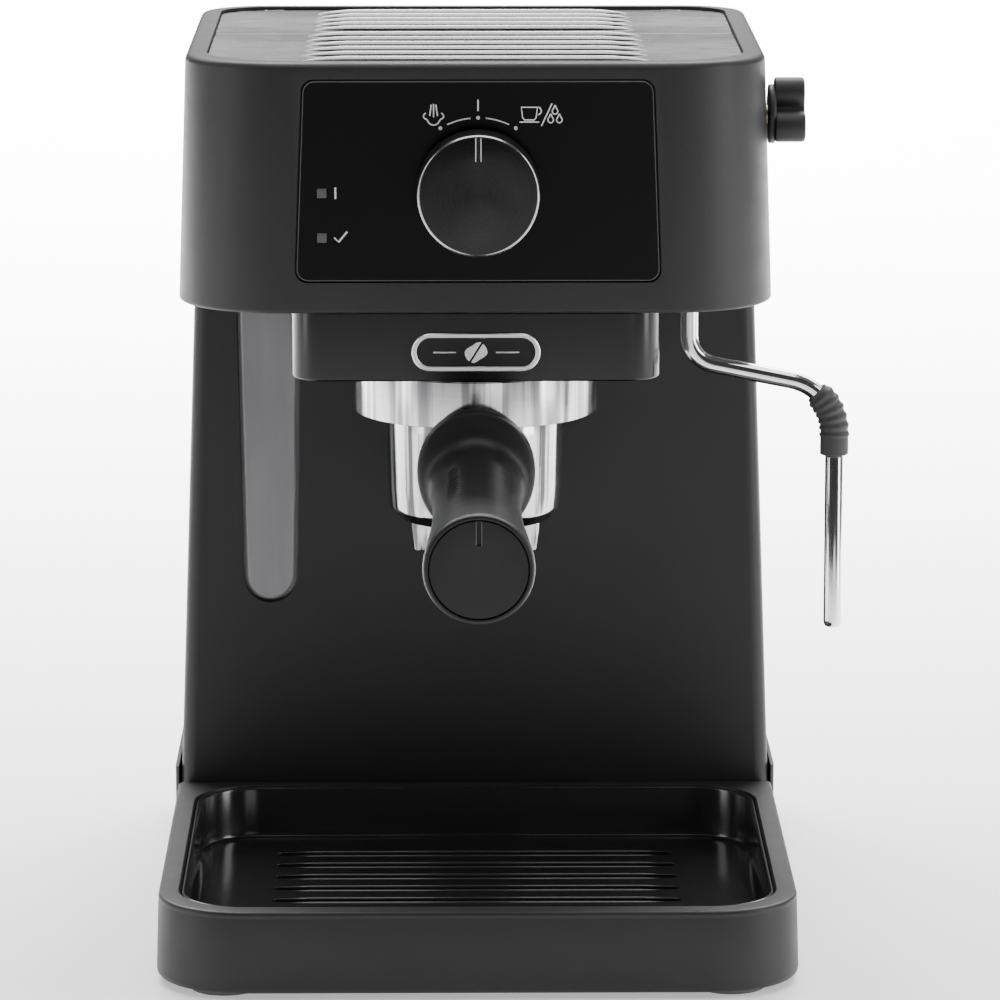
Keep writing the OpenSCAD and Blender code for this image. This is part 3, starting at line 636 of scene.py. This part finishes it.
def build_window():
    """Smoky strip with a raised face, backed by its own flange."""
    face = window_shape(0)
    inner = window_shape(-0.8)
    rings = [
        [(x, COLUMN_Y + 3.0, z) for x, z in face],
        [(x, COLUMN_Y + 1.0, z) for x, z in face],
        [(x, COLUMN_Y + 0.5, z) for x, z in inner],
    ]
    flange = slab_xz(window_shape(2.2), COLUMN_Y + 2.7, COLUMN_Y + 4.5)
    strip = joined([loft(rings), flange])
    mesh_piece("window", strip, "smoked", "housing", ["level_window"])


def rib_row(first, pitch, count, length):
    """Raised ribs with drawn-out ends, as one mesh."""
    parts = []
    for k in range(count):
        y = first + pitch * k
        path = []
        radii = []
        for i in range(41):
            t = i / 40
            x = -length / 2 + length * t
            end = min(t, 1 - t) * length
            path.append((x, y, PLATE_Z - 0.25))
            radii.append(0.12 + 1.85 * math.sin(math.pi / 2 * min(1, end / 15)) ** 0.8)
        parts.append(sweep(path, radii, 16))
    return joined(parts)


def build_top_plates():
    front = loft(flat_rings(
        [(0, PLATE_Z - 0.7), (0, PLATE_Z - 0.25), (0.25, PLATE_Z)],
        lambda i, z: shrunk(176.2, 102.65, SPLIT_Y - 0.5, 28, 1, i)
    ))
    ribbed = joined([front, rib_row(113, 14.9, 6, 114)])
    mesh_piece("warmer_plate", ribbed, "plate", "housing", ["cup_warmer_plate"])
    rear = loft(flat_rings(
        [(0, PLATE_Z - 0.7), (0, PLATE_Z - 0.25), (0.25, PLATE_Z)],
        lambda i, z: shrunk(176.2, SPLIT_Y + 0.5, 273, 1, 16, i)
    ))
    ribbed = joined([rear, rib_row(207.3, 13.1, 5, 110)])
    mesh_piece("lid_top", ribbed, "plate", "lid", ["lid_plate"])


def build_lid():
    cutters = [
        box_bm(-110, 110, 80, SPLIT_Y + 0.2, 200, 300),
        box_bm(-110, 110, 80, 300, 200, LID_Z),
        pocket(150, 273.1, 2, 16),
        *[box_bm(x - 3.3, x + 3.3, 271.4, 285, 270, 285.2) for x in (-70, 70)],
    ]
    mesh_piece("lid", cut(head_block(), cutters), "matt", "lid", ["tank_lid"], edge=0.3)


def build_group_cover():
    profile = fillet(1.2, 181.7, False) + [(0, 204.3)]
    block = loft(flat_rings(profile, cover_outline))
    hollow = loft(flat_rings([(2.2, 183.9), (2.2, 215)], cover_outline))
    drilled = cut(block, [hollow, rod_bm((0, GROUP_Y, 170), (0, GROUP_Y, 200), 36)])
    mesh_piece("group_band", drilled, "gloss", "housing", ["group_cover"], edge=0.4)


def pill(half, radius, z, steps=16):
    """A long rounded outline in x and z."""
    points = []
    for side, start in ((1, -90), (-1, 90)):
        for i in range(steps + 1):
            a = math.radians(start + 180 * i / steps)
            points.append((side * half + radius * math.cos(a), z + radius * math.sin(a)))
    return points


def build_badge():
    """A generic badge: a bright rim round a dark field with a coffee bean in relief."""
    z = 191.6
    rim = loft([
        [(x, 97.0, h) for x, h in pill(14.75, 6.25, z)],
        [(x, 96.1, h) for x, h in pill(14.75, 6.25, z)],
        [(x, 95.85, h) for x, h in pill(14.75, 5.95, z)],
        [(x, 95.85, h) for x, h in pill(14.75, 4.95, z)],
        [(x, 96.15, h) for x, h in pill(14.75, 4.7, z)],
        [(x, 96.9, h) for x, h in pill(14.75, 4.7, z)],
    ], closed_path=True)
    mesh_piece("badge_rim", rim, "badge", "housing", ["badge"])
    field = slab_xz(pill(14.75, 4.75, z), 96.3, 96.95)
    mesh_piece("badge_field", field, "gloss", "housing", ())
    bean_halves = []
    for side in (-1, 1):
        points = []
        for i in range(25):
            a = math.radians(180 * i / 24)
            across = side * (0.35 + 2.6 * math.sin(a))
            along = 3.6 * math.cos(a)
            bend = 0.55 * math.sin(along / 3.6 * math.pi)
            turn = math.radians(-32)
            x = (across + bend) * math.cos(turn) - along * math.sin(turn)
            h = (across + bend) * math.sin(turn) + along * math.cos(turn)
            points.append((x, z + h))
        bean_halves.append(slab_xz(points, 95.95, 96.35))
    beans = joined(bean_halves)
    lines = [rod_bm((x0, 96.2, z), (x1, 96.2, z), 0.3, segments=16) for x0, x1 in ((-14, -6.5), (6.5, 14))]
    mesh_piece("badge_bean", joined([beans, *lines]), "badge", "housing", (), edge=0.1)


def build_group_ring():
    profile = rounded(
        [(30.4, 181.6), (30.4, 180.2), (35, 180.2), (35, 168.8), (30.4, 168.8), (30.4, 166),
         (40.3, 166), (40.3, 181.6), (31, 181.6)], 0.5
    )
    mesh_piece(
        "bayonet_ring", ring_lathe(profile, (0, GROUP_Y, 0)), "ring", "housing", ["group_ring"],
        smooth=50
    )


# ---------------------------------------------------------------- controls


def ribbon(points, width, y, closed=False):
    """A flat printed line in the x-z plane through a list of (x, z)."""
    path = [Vector((p[0], 0, p[1])) for p in points]
    if closed:
        path.append(path[0])
    left = []
    right = []
    for i, p in enumerate(path):
        if closed and i in (0, len(path) - 1):
            ahead = path[1] - path[-2]
        else:
            ahead = path[min(i + 1, len(path) - 1)] - path[max(i - 1, 0)]
        ahead.normalize()
        side = Vector((-ahead.z, 0, ahead.x)) * width / 2
        left.append(p + side)
        right.append(p - side)
    bm = bmesh.new()
    front = [bm.verts.new((p.x, y, p.z)) for p in left]
    back = [bm.verts.new((p.x, y, p.z)) for p in right]
    for i in range(len(path) - 1):
        bm.faces.new((front[i], front[i + 1], back[i + 1], back[i]))
    return bm


def arc(cx, cz, r, start, end, steps=20):
    return [
        (cx + r * math.cos(math.radians(start + (end - start) * i / steps)),
         cz + r * math.sin(math.radians(start + (end - start) * i / steps)))
        for i in range(steps + 1)
    ]


def dot(cx, cz, r, y):
    bm = bmesh.new()
    bm.faces.new([bm.verts.new((x, y, z)) for x, z in arc(cx, cz, r, 0, 345, 23)])
    return bm


def drop_mark(cx, cz, size):
    """A water drop: a round foot that narrows to a point."""
    points = []
    for i in range(24):
        a = math.radians(90 + 360 * i / 24)
        rise = max(0, math.sin(a))
        across = 0.8 * math.cos(a) * (1.1 - 0.35 * rise)
        points.append((cx + size * across, cz + size * math.sin(a) * (1 + 0.75 * rise ** 6)))
    return points


def steam_mark(cx, cz):
    """A little cloud under three jets of steam."""
    cloud = []
    for bx, bz, r, start, end in (
        (-2.3, 0.55, 0.95, 100, 270), (0, -0.35, 2.0, 200, 340), (2.3, 0.55, 0.95, -90, 80)
    ):
        cloud += arc(cx + bx, cz + bz, r, start, end, 10)
    jets = [[(cx + s * 0.75, cz + 4.3), (cx + s * 1.25, cz + 0.6)] for s in (-1, 1)]
    return [cloud, *jets, [(cx, cz + 4.5), (cx, cz + 0.2)]]


def build_marks():
    """The panel's printed marks: positions round the knob, steam, cup, drops and the two lamp signs."""
    y = HEAD_Y - 0.13
    line = 0.42
    parts = [ribbon([(KNOB_X, KNOB_Z + 25.9), (KNOB_X, KNOB_Z + 29.6)], 0.5, y)]
    for degrees in (-31, 0, 31):
        a = math.radians(degrees)
        parts.append(dot(KNOB_X + MARK_R * math.sin(a), KNOB_Z + MARK_R * math.cos(a), 0.62, y))
    for start, end in ((65, 84), (96, 115)):
        parts.append(ribbon(arc(KNOB_X, KNOB_Z, MARK_R, start, end), line, y))
    for stroke in steam_mark(KNOB_X - 14.4, KNOB_Z + MARK_R):
        parts.append(ribbon(stroke, line, y))
    cup_x = KNOB_X + 16.6
    cup_z = KNOB_Z + 25.0
    cup = [(cup_x - 2.6, cup_z + 2.1), (cup_x - 2.2, cup_z - 1.2), (cup_x - 1.6, cup_z - 2.0),
           (cup_x + 1.6, cup_z - 2.0), (cup_x + 2.2, cup_z - 1.2), (cup_x + 2.6, cup_z + 2.1)]
    parts.append(ribbon(cup, line, y, closed=True))
    parts.append(ribbon(arc(cup_x + 2.6, cup_z + 0.9, 1.25, 80, -80), line, y))
    parts.append(ribbon([(cup_x - 3.2, cup_z - 2.7), (cup_x + 3.2, cup_z - 2.7)], line, y))
    parts.append(ribbon([(cup_x + 3.9, cup_z - 4.0), (cup_x + 7.3, cup_z + 3.3)], line, y))
    for dx, dz in ((8.3, 0.9), (6.9, -1.9), (9.7, -1.9)):
        parts.append(ribbon(drop_mark(cup_x + dx, cup_z + dz, 1.05), line * 0.9, y, closed=True))
    parts.append(ribbon([(-45.6, 242.3), (-45.6, 246.0)], 0.6, y))
    parts.append(ribbon([(-46.0, 229.6), (-44.6, 228.2), (-41.8, 231.6)], 0.6, y))
    mesh_piece("panel_marks", joined(parts), "print", "housing", ())
    # a grey line just inside the panel's edge: painted highlight where the edge catches the light
    panel_edge_highlight_line = ribbon(panel_shape(-0.4, 3.6), 0.28, y, closed=True)
    mesh_piece("panel_outline", panel_edge_highlight_line, "lens", "housing", ())


def build_panel():
    shape = panel_shape(0)
    rings = [
        [(x, HEAD_Y + 1.5, z) for x, z in shape],
        [(x, HEAD_Y + 0.15, z) for x, z in shape],
        [(x, HEAD_Y - 0.1, z) for x, z in panel_shape(-0.25, 3.75)],
    ]
    cutters = [rod_bm((KNOB_X, 80, KNOB_Z), (KNOB_X, 110, KNOB_Z), 4)]
    cutters += [box_bm(-51.7, -48.3, 80, 110, z - 1.7, z + 1.7) for z in (229.5, 244.1)]
    mesh_piece("panel", cut(loft(rings), cutters), "panel", "housing", ["control_panel"])
    build_marks()


def build_selector():
    """The selector: a straight turned skirt, a bright bevel, a spun face and a cut pointer."""
    r = SELECTOR_R
    skirt = lathe(
        [(3, -6), (3, -0.5), (r - 2, 0.5), (r - 0.3, 0.6), (r, 1.0), (r - 0.15, 13.0), (r - 0.25, 13.9)],
        (KNOB_X, HEAD_Y, KNOB_Z), "-Y"
    )
    mesh_piece("selector_skirt", skirt, "skirt", "selector", ["selector_knob"], smooth=50)
    bevel = lathe([(r - 0.25, 13.9), (r - 0.35, 14.3), (r - 0.95, 14.85)], (KNOB_X, HEAD_Y, KNOB_Z), "-Y")
    mesh_piece("selector_bevel", bevel, "rim", "selector", (), smooth=60)
    face = lathe([(r - 1.1, 13.5), (r - 1.0, 14.8), (r - 1.25, 14.9)], (KNOB_X, HEAD_Y, KNOB_Z), "-Y")
    slot = box_bm(KNOB_X - 0.85, KNOB_X + 0.85, 79, HEAD_Y - 14.3, KNOB_Z + 11.3, KNOB_Z + 21)
    mesh_piece("selector_face", cut(face, [slot]), "dial", "selector", (), edge=0.12)
    # two bright metal strips along the pointer slot's long edges: painted highlight where the slot's edges
    # catch the light
    edges = [
        box_bm(x - 0.14, x + 0.14, HEAD_Y - 14.95, HEAD_Y - 14.3, KNOB_Z + 11.3, KNOB_Z + 18.9)
        for x in (KNOB_X - 0.85, KNOB_X + 0.85)
    ]
    mesh_piece("selector_slot_highlights", joined(edges), "badge", "selector", ())


def lobed(radius, lobe, reach, x, count=3, steps=120):
    """A three-lobed outline with soft waists at x, in y and z round the steam tap's axis."""
    points = []
    for i in range(steps):
        a = 2 * math.pi * i / steps
        best = radius
        for k in range(count):
            off = a - (math.pi / 2 + 2 * math.pi * k / count)
            inside = lobe ** 2 - (reach * math.sin(off)) ** 2
            if inside > 0 and math.cos(off) > 0:
                best = max(best, reach * math.cos(off) + math.sqrt(inside))
        points.append((best * math.cos(a), best * math.sin(a)))
    ring = []
    for i, (py, pz) in enumerate(points):
        before = points[i - 1]
        after = points[(i + 1) % steps]
        y = TAP_Y + (before[0] + 2 * py + after[0]) / 4
        ring.append((x, y, TAP_Z + (before[1] + 2 * pz + after[1]) / 4))
    return ring


def build_steam_knob():
    rings = []
    for x, shrink in ((98.9, 0.6), (99.3, 0.1), (100.0, 0), (107.8, 0), (108.7, 0.35), (109.0, 1.1)):
        rings.append(lobed(4.4 - shrink, 5.2 - shrink, 7.0, x))
    profile = [(7.4, 0), (9.5, 0.2), (9.8, 0.6), (9.8, 1.9), (9.3, 2.5), (5, 2.6)]
    knob = joined([loft(rings), lathe(profile, (96.8, TAP_Y, TAP_Z), "X")])
    mesh_piece("steam_tap", knob, "matt", "steam_tap", ["steam_knob"], smooth=40)


# ---------------------------------------------------------------- steam wand


def wand_path():
    """The wand's centre line: down out of the head, out along the arm and down again."""
    bend_a, bend_b, top_z = 10.0, 18.0, 193.0
    turn = math.pi / 2 - ARM_SLOPE
    path = [(WAND_X, WAND_Y, 210), (WAND_X, WAND_Y, 200)]
    for i in range(13):
        a = math.pi + turn * i / 12
        path.append((WAND_X + bend_a + bend_a * math.cos(a), WAND_Y, top_z + bend_a * math.sin(a)))
    arm_x1 = FROTHER_X - bend_b * (1 - math.sin(ARM_SLOPE))
    start = path[-1]
    arm_z1 = start[2] - (arm_x1 - start[0]) * math.tan(ARM_SLOPE)
    low_z = arm_z1 - bend_b * math.cos(ARM_SLOPE)
    bend = []
    for i in range(17):
        a = turn * (1 - i / 16)
        bend.append((FROTHER_X - bend_b + bend_b * math.cos(a), WAND_Y, low_z + bend_b * math.sin(a)))
    for t in (0.35, 0.7):
        path.append(tuple(Vector(start).lerp(Vector(bend[0]), t)))
    return path + bend + [(FROTHER_X, WAND_Y, 154)], bend, low_z


def build_wand():
    path, bend, low_z = wand_path()
    tube = sweep(path, WAND_R)
    mesh_piece("wand_tube", tube, "chrome", "wand", ["steam_wand"], smooth=60)
    core = rod_bm((FROTHER_X, WAND_Y, 105), (FROTHER_X, WAND_Y, 154), 1.88)
    mesh_piece("wand_core", core, "chrome", "wand", (), smooth=60)
    covered = [Vector(p) for p in bend if p[0] >= FROTHER_X - 18 * (1 - math.cos(math.radians(50)))]
    fine = []
    for a, b in zip(covered, covered[1:]):
        fine += [a.lerp(b, t) for t in (0, 0.2, 0.4, 0.6, 0.8)]
    steps = 30
    fine += [Vector((FROTHER_X, WAND_Y, low_z + (153.0 - low_z) * i / steps)) for i in range(steps + 1)]
    length = 0
    radii = []
    for i, p in enumerate(fine):
        length += (p - fine[max(i - 1, 0)]).length
        wave = 0.5 + 0.5 * math.cos(2 * math.pi * (length - 2.2) / 2.75)
        swell = min(1, 0.35 + length / 4.5)
        radii.append(3.3 + 1.25 * swell + (0.5 * wave if length < 16.5 else 0.18))
    radii[0] = 3.4
    radii[-1] = 4.4
    grip = sweep(fine, radii, 32)
    mesh_piece("wand_grip", grip, "rubber", "wand", ["wand_sleeve"], smooth=60)
    tip = [(0.7, 95.4), (0.75, 94.6), (1.7, 94.5), (2.5, 94.9), (2.95, 95.8), (3.0, 97)]
    frother = lathe(tip + [(3.0, 152.2), (2.7, 152.6)], (FROTHER_X, WAND_Y, 0), steps=48)
    mesh_piece("frother", frother, "chrome", "frother", ["frother_tube"], smooth=60)


# ---------------------------------------------------------------- filter holder


HANDLE_START = Vector((0, 95.9, 147.6))


def handle_point(t, x, up):
    """A point at distance t along the handle, x across it and up above its axis."""
    return HANDLE_START + Vector((x, -t, up))


HANDLE_SECTIONS = [
    # distance, half width, upper half height, lower half height, rise of the centre
    (0.0, 18.2, 19.2, 20.4, 5.5),
    (0.4, 18.9, 19.9, 21.2, 5.5),
    (1.4, 19.3, 20.3, 21.8, 5.5),
    (7.2, 19.3, 20.3, 21.8, 5.5),
    (8.4, 19.1, 20.1, 21.4, 5.4),
    (9.0, 18.4, 19.4, 20.6, 5.2),
    (9.4, 17.2, 17.8, 18.8, 4.2),
    (10.2, 16.0, 16.2, 16.8, 2.3),
    (12.0, 15.1, 15.1, 15.2, 0.8),
    (15.0, 14.6, 14.6, 14.6, 0.1),
    (20.0, 14.3, 14.3, 14.3, 0.0),
    (40.0, 14.2, 14.2, 14.2, 0.0),
    (70.0, 14.4, 14.4, 14.4, 0.0),
    (94.0, 15.2, 15.2, 15.2, 0.0),
    (118.0, 16.4, 16.4, 16.4, 0.0),
    (133.0, 17.1, 17.1, 17.1, 0.0),
    (138.8, 17.25, 17.25, 17.25, 0.0),
    (140.2, 16.9, 16.9, 16.9, 0.0),
    (140.7, 16.5, 16.5, 16.5, 0.0),
    (140.85, 16.0, 16.0, 16.0, 0.0),
    (140.7, 15.6, 15.6, 15.6, 0.0),
    (138.6, 15.5, 15.5, 15.5, 0.0),
]


def smooth_sections(rows, steps=4):
    """Adds points between the rows along a smooth curve, except where the rows are close together."""
    result = [rows[0]]
    for i in range(len(rows) - 1):
        before = rows[max(i - 1, 0)]
        a = rows[i]
        b = rows[i + 1]
        after = rows[min(i + 2, len(rows) - 1)]
        count = steps if abs(b[0] - a[0]) > 4 else 1
        for k in range(1, count + 1):
            t = k / count
            row = []
            for p, q, r, u in zip(before, a, b, after):
                bend = 2 * q + (r - p) * t + (2 * p - 5 * q + 4 * r - u) * t * t
                row.append((bend + (3 * q - p - 3 * r + u) * t ** 3) / 2 if count > 1 else r)
            result.append(row)
    return result


def handle_ring(t, r, steps):
    """A round section of the handle at distance t."""
    turn = 2 * math.pi / steps
    return [handle_point(t, r * math.cos(turn * i), r * math.sin(turn * i)) for i in range(steps)]


def build_handle():
    rings = []
    for t, half_w, upper, lower, rise in smooth_sections(HANDLE_SECTIONS):
        ring = []
        for i in range(72):
            a = 2 * math.pi * i / 72
            half_h = upper if math.sin(a) > 0 else lower
            ring.append(handle_point(t, half_w * math.cos(a), rise + half_h * math.sin(a)))
        rings.append(ring)
    mesh_piece("grip", loft(rings), "handle", "filter_holder", ["handle"], smooth=40)
    cap_profile = ((138.4, 15.3), (140.2, 15.3), (140.5, 15.05), (140.55, 14.2))
    cap_rings = [handle_ring(t, r, 64) for t, r in cap_profile]
    slot = loft([
        [handle_point(t, sx * 0.8, up) for sx, up in ((-1, 7.5), (1, 7.5), (1, 15.2), (-1, 15.2))]
        for t in (139.8, 144)
    ])
    cap = cut(loft(cap_rings), [slot])
    mesh_piece("grip_cap", cap, "handle", "filter_holder", ["handle_cap"], edge=0.12)
    marker = [
        loft([
            [handle_point(t, x + sx * 0.13, up) for sx, up in ((-1, 7.6), (1, 7.6), (1, 15.0), (-1, 15.0))]
            for t in (139.9, 140.68)
        ])
        for x in (-0.85, 0.85)
    ]
    mesh_piece("grip_mark", joined(marker), "lens", "filter_holder", ())
    ridges = []
    for k in range(13):
        t = 38 + 4.8 * k
        r = 14.2 + max(0, t - 50) * 0.012
        path = [handle_point(t, r * math.cos(math.radians(a)), r * math.sin(math.radians(a)))
                for a in (113, 118, 123, 128, 133)]
        ridges.append(sweep(path, [0.1, 0.5, 0.55, 0.5, 0.1], 10))
    mesh_piece("grip_ridges", joined(ridges), "handle", "filter_holder", (), smooth=60)


def build_bowl():
    outer = [(3, 129.2)] + rounded([(10, 129.2), (24.6, 129.2), (28.9, 133.4), (29.4, 141)], 1.2)
    rim = [(29.75, 160), (29.8, 176.3), (29.5, 176.9), (27.9, 176.9), (27.4, 176.3)]
    bowl = ring_lathe(outer + rim + [(27.4, 132.4), (26.6, 132), (3, 132)], (0, GROUP_Y, 0))
    lugs = []
    for s in (-1, 1):
        lug = []
        for z, r in ((169.5, 34.2), (170, 34.5), (172, 34.5), (172.5, 34.2)):
            arc_out = [(s * r * math.cos(math.radians(a)), GROUP_Y + r * math.sin(math.radians(a)), z)
                       for a in range(-18, 19, 4)]
            arc_in = [(s * 29 * math.cos(math.radians(a)), GROUP_Y + 29 * math.sin(math.radians(a)), z)
                      for a in range(18, -19, -4)]
            lug.append(arc_out + arc_in)
        lugs.append(loft(lug))
    boss = rod_bm(handle_point(-12.5, 0, 0), handle_point(-0.1, 0, 0), 9)
    body = joined([bowl, *lugs, boss])
    mesh_piece("bowl", body, "bowl", "filter_holder", ["filter_bowl"], smooth=40)


def build_spout():
    parts = [lathe([(4, 124.9), (9, 125), (9.2, 128.9), (4, 128.95)], (0, GROUP_Y, 0))]
    nozzle = [(2.2, 128.2), (2.2, 118.3), (3.35, 118), (4.2, 124), (4.65, 128.4), (2.3, 128.5)]
    lid = [(0.5, 128.3), (3.2, 128.45), (4.2, 128.2), (4.4, 127.9)]
    for x in (-SPOUT_X, SPOUT_X):
        parts.append(ring_lathe(rounded(nozzle, 0.5), (x, GROUP_Y, 0), steps=40))
        parts.append(lathe(lid, (x, GROUP_Y, 0), steps=40))
    right = [(3.4, 121.9), (4.1, 122.6), (4.1, 127.9), (3.4, 128.55)]
    section = [(-4.1, 122.6), (-3.4, 121.9), *right, (-3.4, 128.55), (-4.1, 127.9)]
    ends = ((-17.5, 0.8), (-14, 1), (14, 1), (17.5, 0.8))
    parts.append(loft([[(x, GROUP_Y + y * k, z) for y, z in section] for x, k in ends]))
    mesh_piece("twin_spout", joined(parts), "bowl", "filter_holder", ["spout"], smooth=40)


# ---------------------------------------------------------------- drip tray


def tray_width(z):
    return 205.8 + (204.3 - 205.8) * (z - 3.4) / (TRAY_H - 3.4)


def tray_outline(inset, z):
    """The tray's plan at a height: big front corners, square rear ones."""
    return shrunk(tray_width(z), 0.4 * (z - 3.4) / 25, 177.4, 28, 1.5, inset, 16)


def build_tray():
    foot = [(2.4, 1.85), (1.7, 1.8), (0.9, 2.2), (0.25, 3.0), (0, 4.2)]
    groove = [(0, 25.6), (0.12, 26.2), (0.12, 26.6), (0, 27.0)]
    block = loft(flat_rings(foot + groove + fillet(1.1, TRAY_H, True), tray_outline))
    mouth = [(0, 5.6), (0, 27.6), (-0.35, 28.2), (-0.5, 29.5)]
    recess = loft(flat_rings(mouth, lambda i, z: shrunk(190.5, 8, 172, 22.2, 22.2, i)))
    under = loft(flat_rings([(0, -1), (0, 4)], lambda i, z: outline(196.8, 2.8, 190, 24.4, 1)))
    tray = cut(block, [recess, under])
    mesh_piece("tray", tray, "tray", "tray", ["drip_tray"], edge=0.25)


def build_grille():
    """The grille insert: a glossy pan, its drain slots and a raised lip along each slot; the lips use a
    lighter copy of the pan's black plastic as painted highlight.
    """
    wall = [(2.4, 8.5), (0.6, 8.9), (0, 9.8), (0, 27.4), (0.3, 27.9), (0.9, 28.1), (1.4, 27.8), (1.6, 27.2)]
    floor = [(1.6, 13.0), (2.0, 11.3), (3.2, GRILLE_Z + 0.15), (4.6, GRILLE_Z)]
    pan = loft(flat_rings(wall + floor, lambda i, z: shrunk(190, 8.3, 171.7, 21.9, 21.9, i, 16)))
    slots = []
    lips = []
    for k in range(SLOT_COUNT):
        y = SLOT_Y + SLOT_PITCH * k
        slots.append(loft([[(x, h, z) for x, h in pill(SLOT_HALF, 2.2, y, 8)] for z in (5, 15)]))
        for edge_y in (y - 2.9, y + 2.9):
            path = [(SLOT_HALF * (i / 6 - 1), edge_y, GRILLE_Z - 0.35) for i in range(13)]
            lips.append(sweep(path, [0.2] + [0.75] * 11 + [0.2], 12))
    grille = cut(pan, slots)
    mesh_piece(
        "grille_basin", grille, "basin", "grille", ["cup_grille"], edge=0.45, segments=3
    )
    # the lips are real raised geometry; their lighter colour is painted highlight
    mesh_piece("grille_lips", joined(lips), "lip", "grille", (), smooth=60)


# ---------------------------------------------------------------- carried-over nodes


CARRIED = {
    "base_plate": "matt", "base_skirt": "matt", "rubber_feet": "foot", "back_cover": "matt",
    "back_screws": "steel",
    "indicator_lenses": "lens", "control_board": "board", "selector_switch": "ivory",
    "group_gasket": "rubber", "shower_screen": "steel", "shower_screw": "steel", "boiler_base": "cast",
    "boiler_gasket": "seal", "boiler_cap": "cast", "boiler_screws": "steel", "heating_element": "steel",
    "thermostats": "ivory", "thermal_fuse": "steel", "pump_body": "ivory", "pump_coil": "copper",
    "pump_mounts": "rubber", "suction_hose": "hose", "pressure_hose": "hose", "steam_pipe": "brass",
    "steam_valve": "brass", "steam_spindle": "brass", "wand_bushing": "matt", "filter_basket": "steel",
    "basket_spring": "steel", "spout_screw": "steel", "handle_bolt": "steel", "tank_shelf": "matt",
    "water_tank": "tank", "tank_plunger": "ivory", "plunger_spring": "steel", "lid_pins": "steel",
    "power_bezel": "gloss", "power_rocker": "matt", "cord_gland": "rubber",
}


def dress_carried_nodes():
    """Gives each CAD node that stays its material, smooth curves and lightly broken edges."""
    for name, material in CARRIED.items():
        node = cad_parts[name]
        node.data.materials.clear()
        node.data.materials.append(MATERIALS[material])
        weld = node.modifiers.new("weld", "WELD")
        weld.merge_threshold = 0.00001
        for face in node.data.polygons:
            face.use_smooth = True
        bevel = node.modifiers.new("edges", "BEVEL")
        bevel.width = 0.00025
        bevel.segments = 2
        bevel.limit_method = "ANGLE"
        bevel.angle_limit = math.radians(40)
        level = node.modifiers.new("flat_faces", "WEIGHTED_NORMAL")
        level.weight = 90


# ---------------------------------------------------------------- studio


def area_light(name, location, target, size, power, shape=(1.0, 1.0)):
    light = bpy.data.lights.new(name, "AREA")
    light.shape = "RECTANGLE"
    light.size = size * shape[0]
    light.size_y = size * shape[1]
    light.energy = power
    lamp = bpy.data.objects.new(name, light)
    lamp.location = location
    lamp.rotation_euler = (Vector(target) - Vector(location)).to_track_quat("-Z", "Y").to_euler()
    bpy.context.scene.collection.objects.link(lamp)
    return lamp


def build_studio():
    floor_bm = bmesh.new()
    bmesh.ops.create_grid(floor_bm, x_segments=1, y_segments=1, size=6)
    mesh = bpy.data.meshes.new("floor")
    floor_bm.to_mesh(mesh)
    floor_bm.free()
    floor = bpy.data.objects.new("floor", mesh)
    bpy.context.scene.collection.objects.link(floor)
    n = Nodes("studio_floor")
    n.link(n.colours(n.noise(3), (0.86, 0.86, 0.86), (0.90, 0.90, 0.90)), n.bsdf.inputs["Base Color"])
    n.bsdf.inputs["Roughness"].default_value = 0.6
    n.bsdf.inputs["Emission Strength"].default_value = 0.5
    mesh.materials.append(n.mat)
    build_world()
    area_light("left_box", (-0.95, -0.3, 0.35), (0, 0.02, 0.15), 1.0, 3.2, (0.3, 1.1))
    area_light("right_box", (0.95, -0.3, 0.35), (0, 0.02, 0.15), 1.0, 6.5, (0.3, 1.1))
    area_light("top_box", (0.0, -0.05, 1.15), (0, 0.0, 0.1), 0.9, 8)
    back = area_light("back_box", (0.0, 2.75, 1.5), (0, 2.75, 0), 3.6, 780)
    back.data.spread = math.radians(120)
    area_light("low_card", (0.42, -1.25, 0.12), (0, 0, 0.25), 0.5, 0.35, (1.0, 0.4))


def build_world():
    """A room that is dark where the camera stands and pale behind the machine."""
    world = bpy.data.worlds.new("studio")
    bpy.context.scene.world = world
    world.use_nodes = True
    tree = world.node_tree
    background = tree.nodes["Background"]
    background.inputs["Color"].default_value = (1, 1, 1, 1)
    coords = tree.nodes.new("ShaderNodeTexCoord")
    split = tree.nodes.new("ShaderNodeSeparateXYZ")
    depth = tree.nodes.new("ShaderNodeMapRange")
    depth.inputs["From Min"].default_value = -0.5
    depth.inputs["From Max"].default_value = 0.9
    depth.inputs["To Min"].default_value = 0.04
    depth.inputs["To Max"].default_value = 0.32
    tree.links.new(coords.outputs["Generated"], split.inputs["Vector"])
    tree.links.new(split.outputs["Y"], depth.inputs["Value"])
    tree.links.new(depth.outputs["Result"], background.inputs["Strength"])


def build_camera():
    """A long lens a little left of the middle plane, looking slightly down and to the right."""
    camera = bpy.data.cameras.new("camera")
    camera.sensor_width = 36
    camera.lens = 208.8
    camera.dof.use_dof = False
    camera.clip_end = 50
    holder = bpy.data.objects.new("camera", camera)
    holder.location = to_frame((-11.1, -1771.7, 496.9))
    holder.rotation_euler = (math.radians(90 - 10.74), 0, math.radians(-0.58))
    bpy.context.scene.collection.objects.link(holder)
    bpy.context.scene.camera = holder


build_camera()
build_studio()
build_head()
build_column()
build_window()
build_top_plates()
build_lid()
build_group_cover()
build_badge()
build_group_ring()
build_panel()
build_selector()
build_steam_knob()
build_wand()
build_handle()
build_bowl()
build_spout()
build_tray()
build_grille()
dress_carried_nodes()
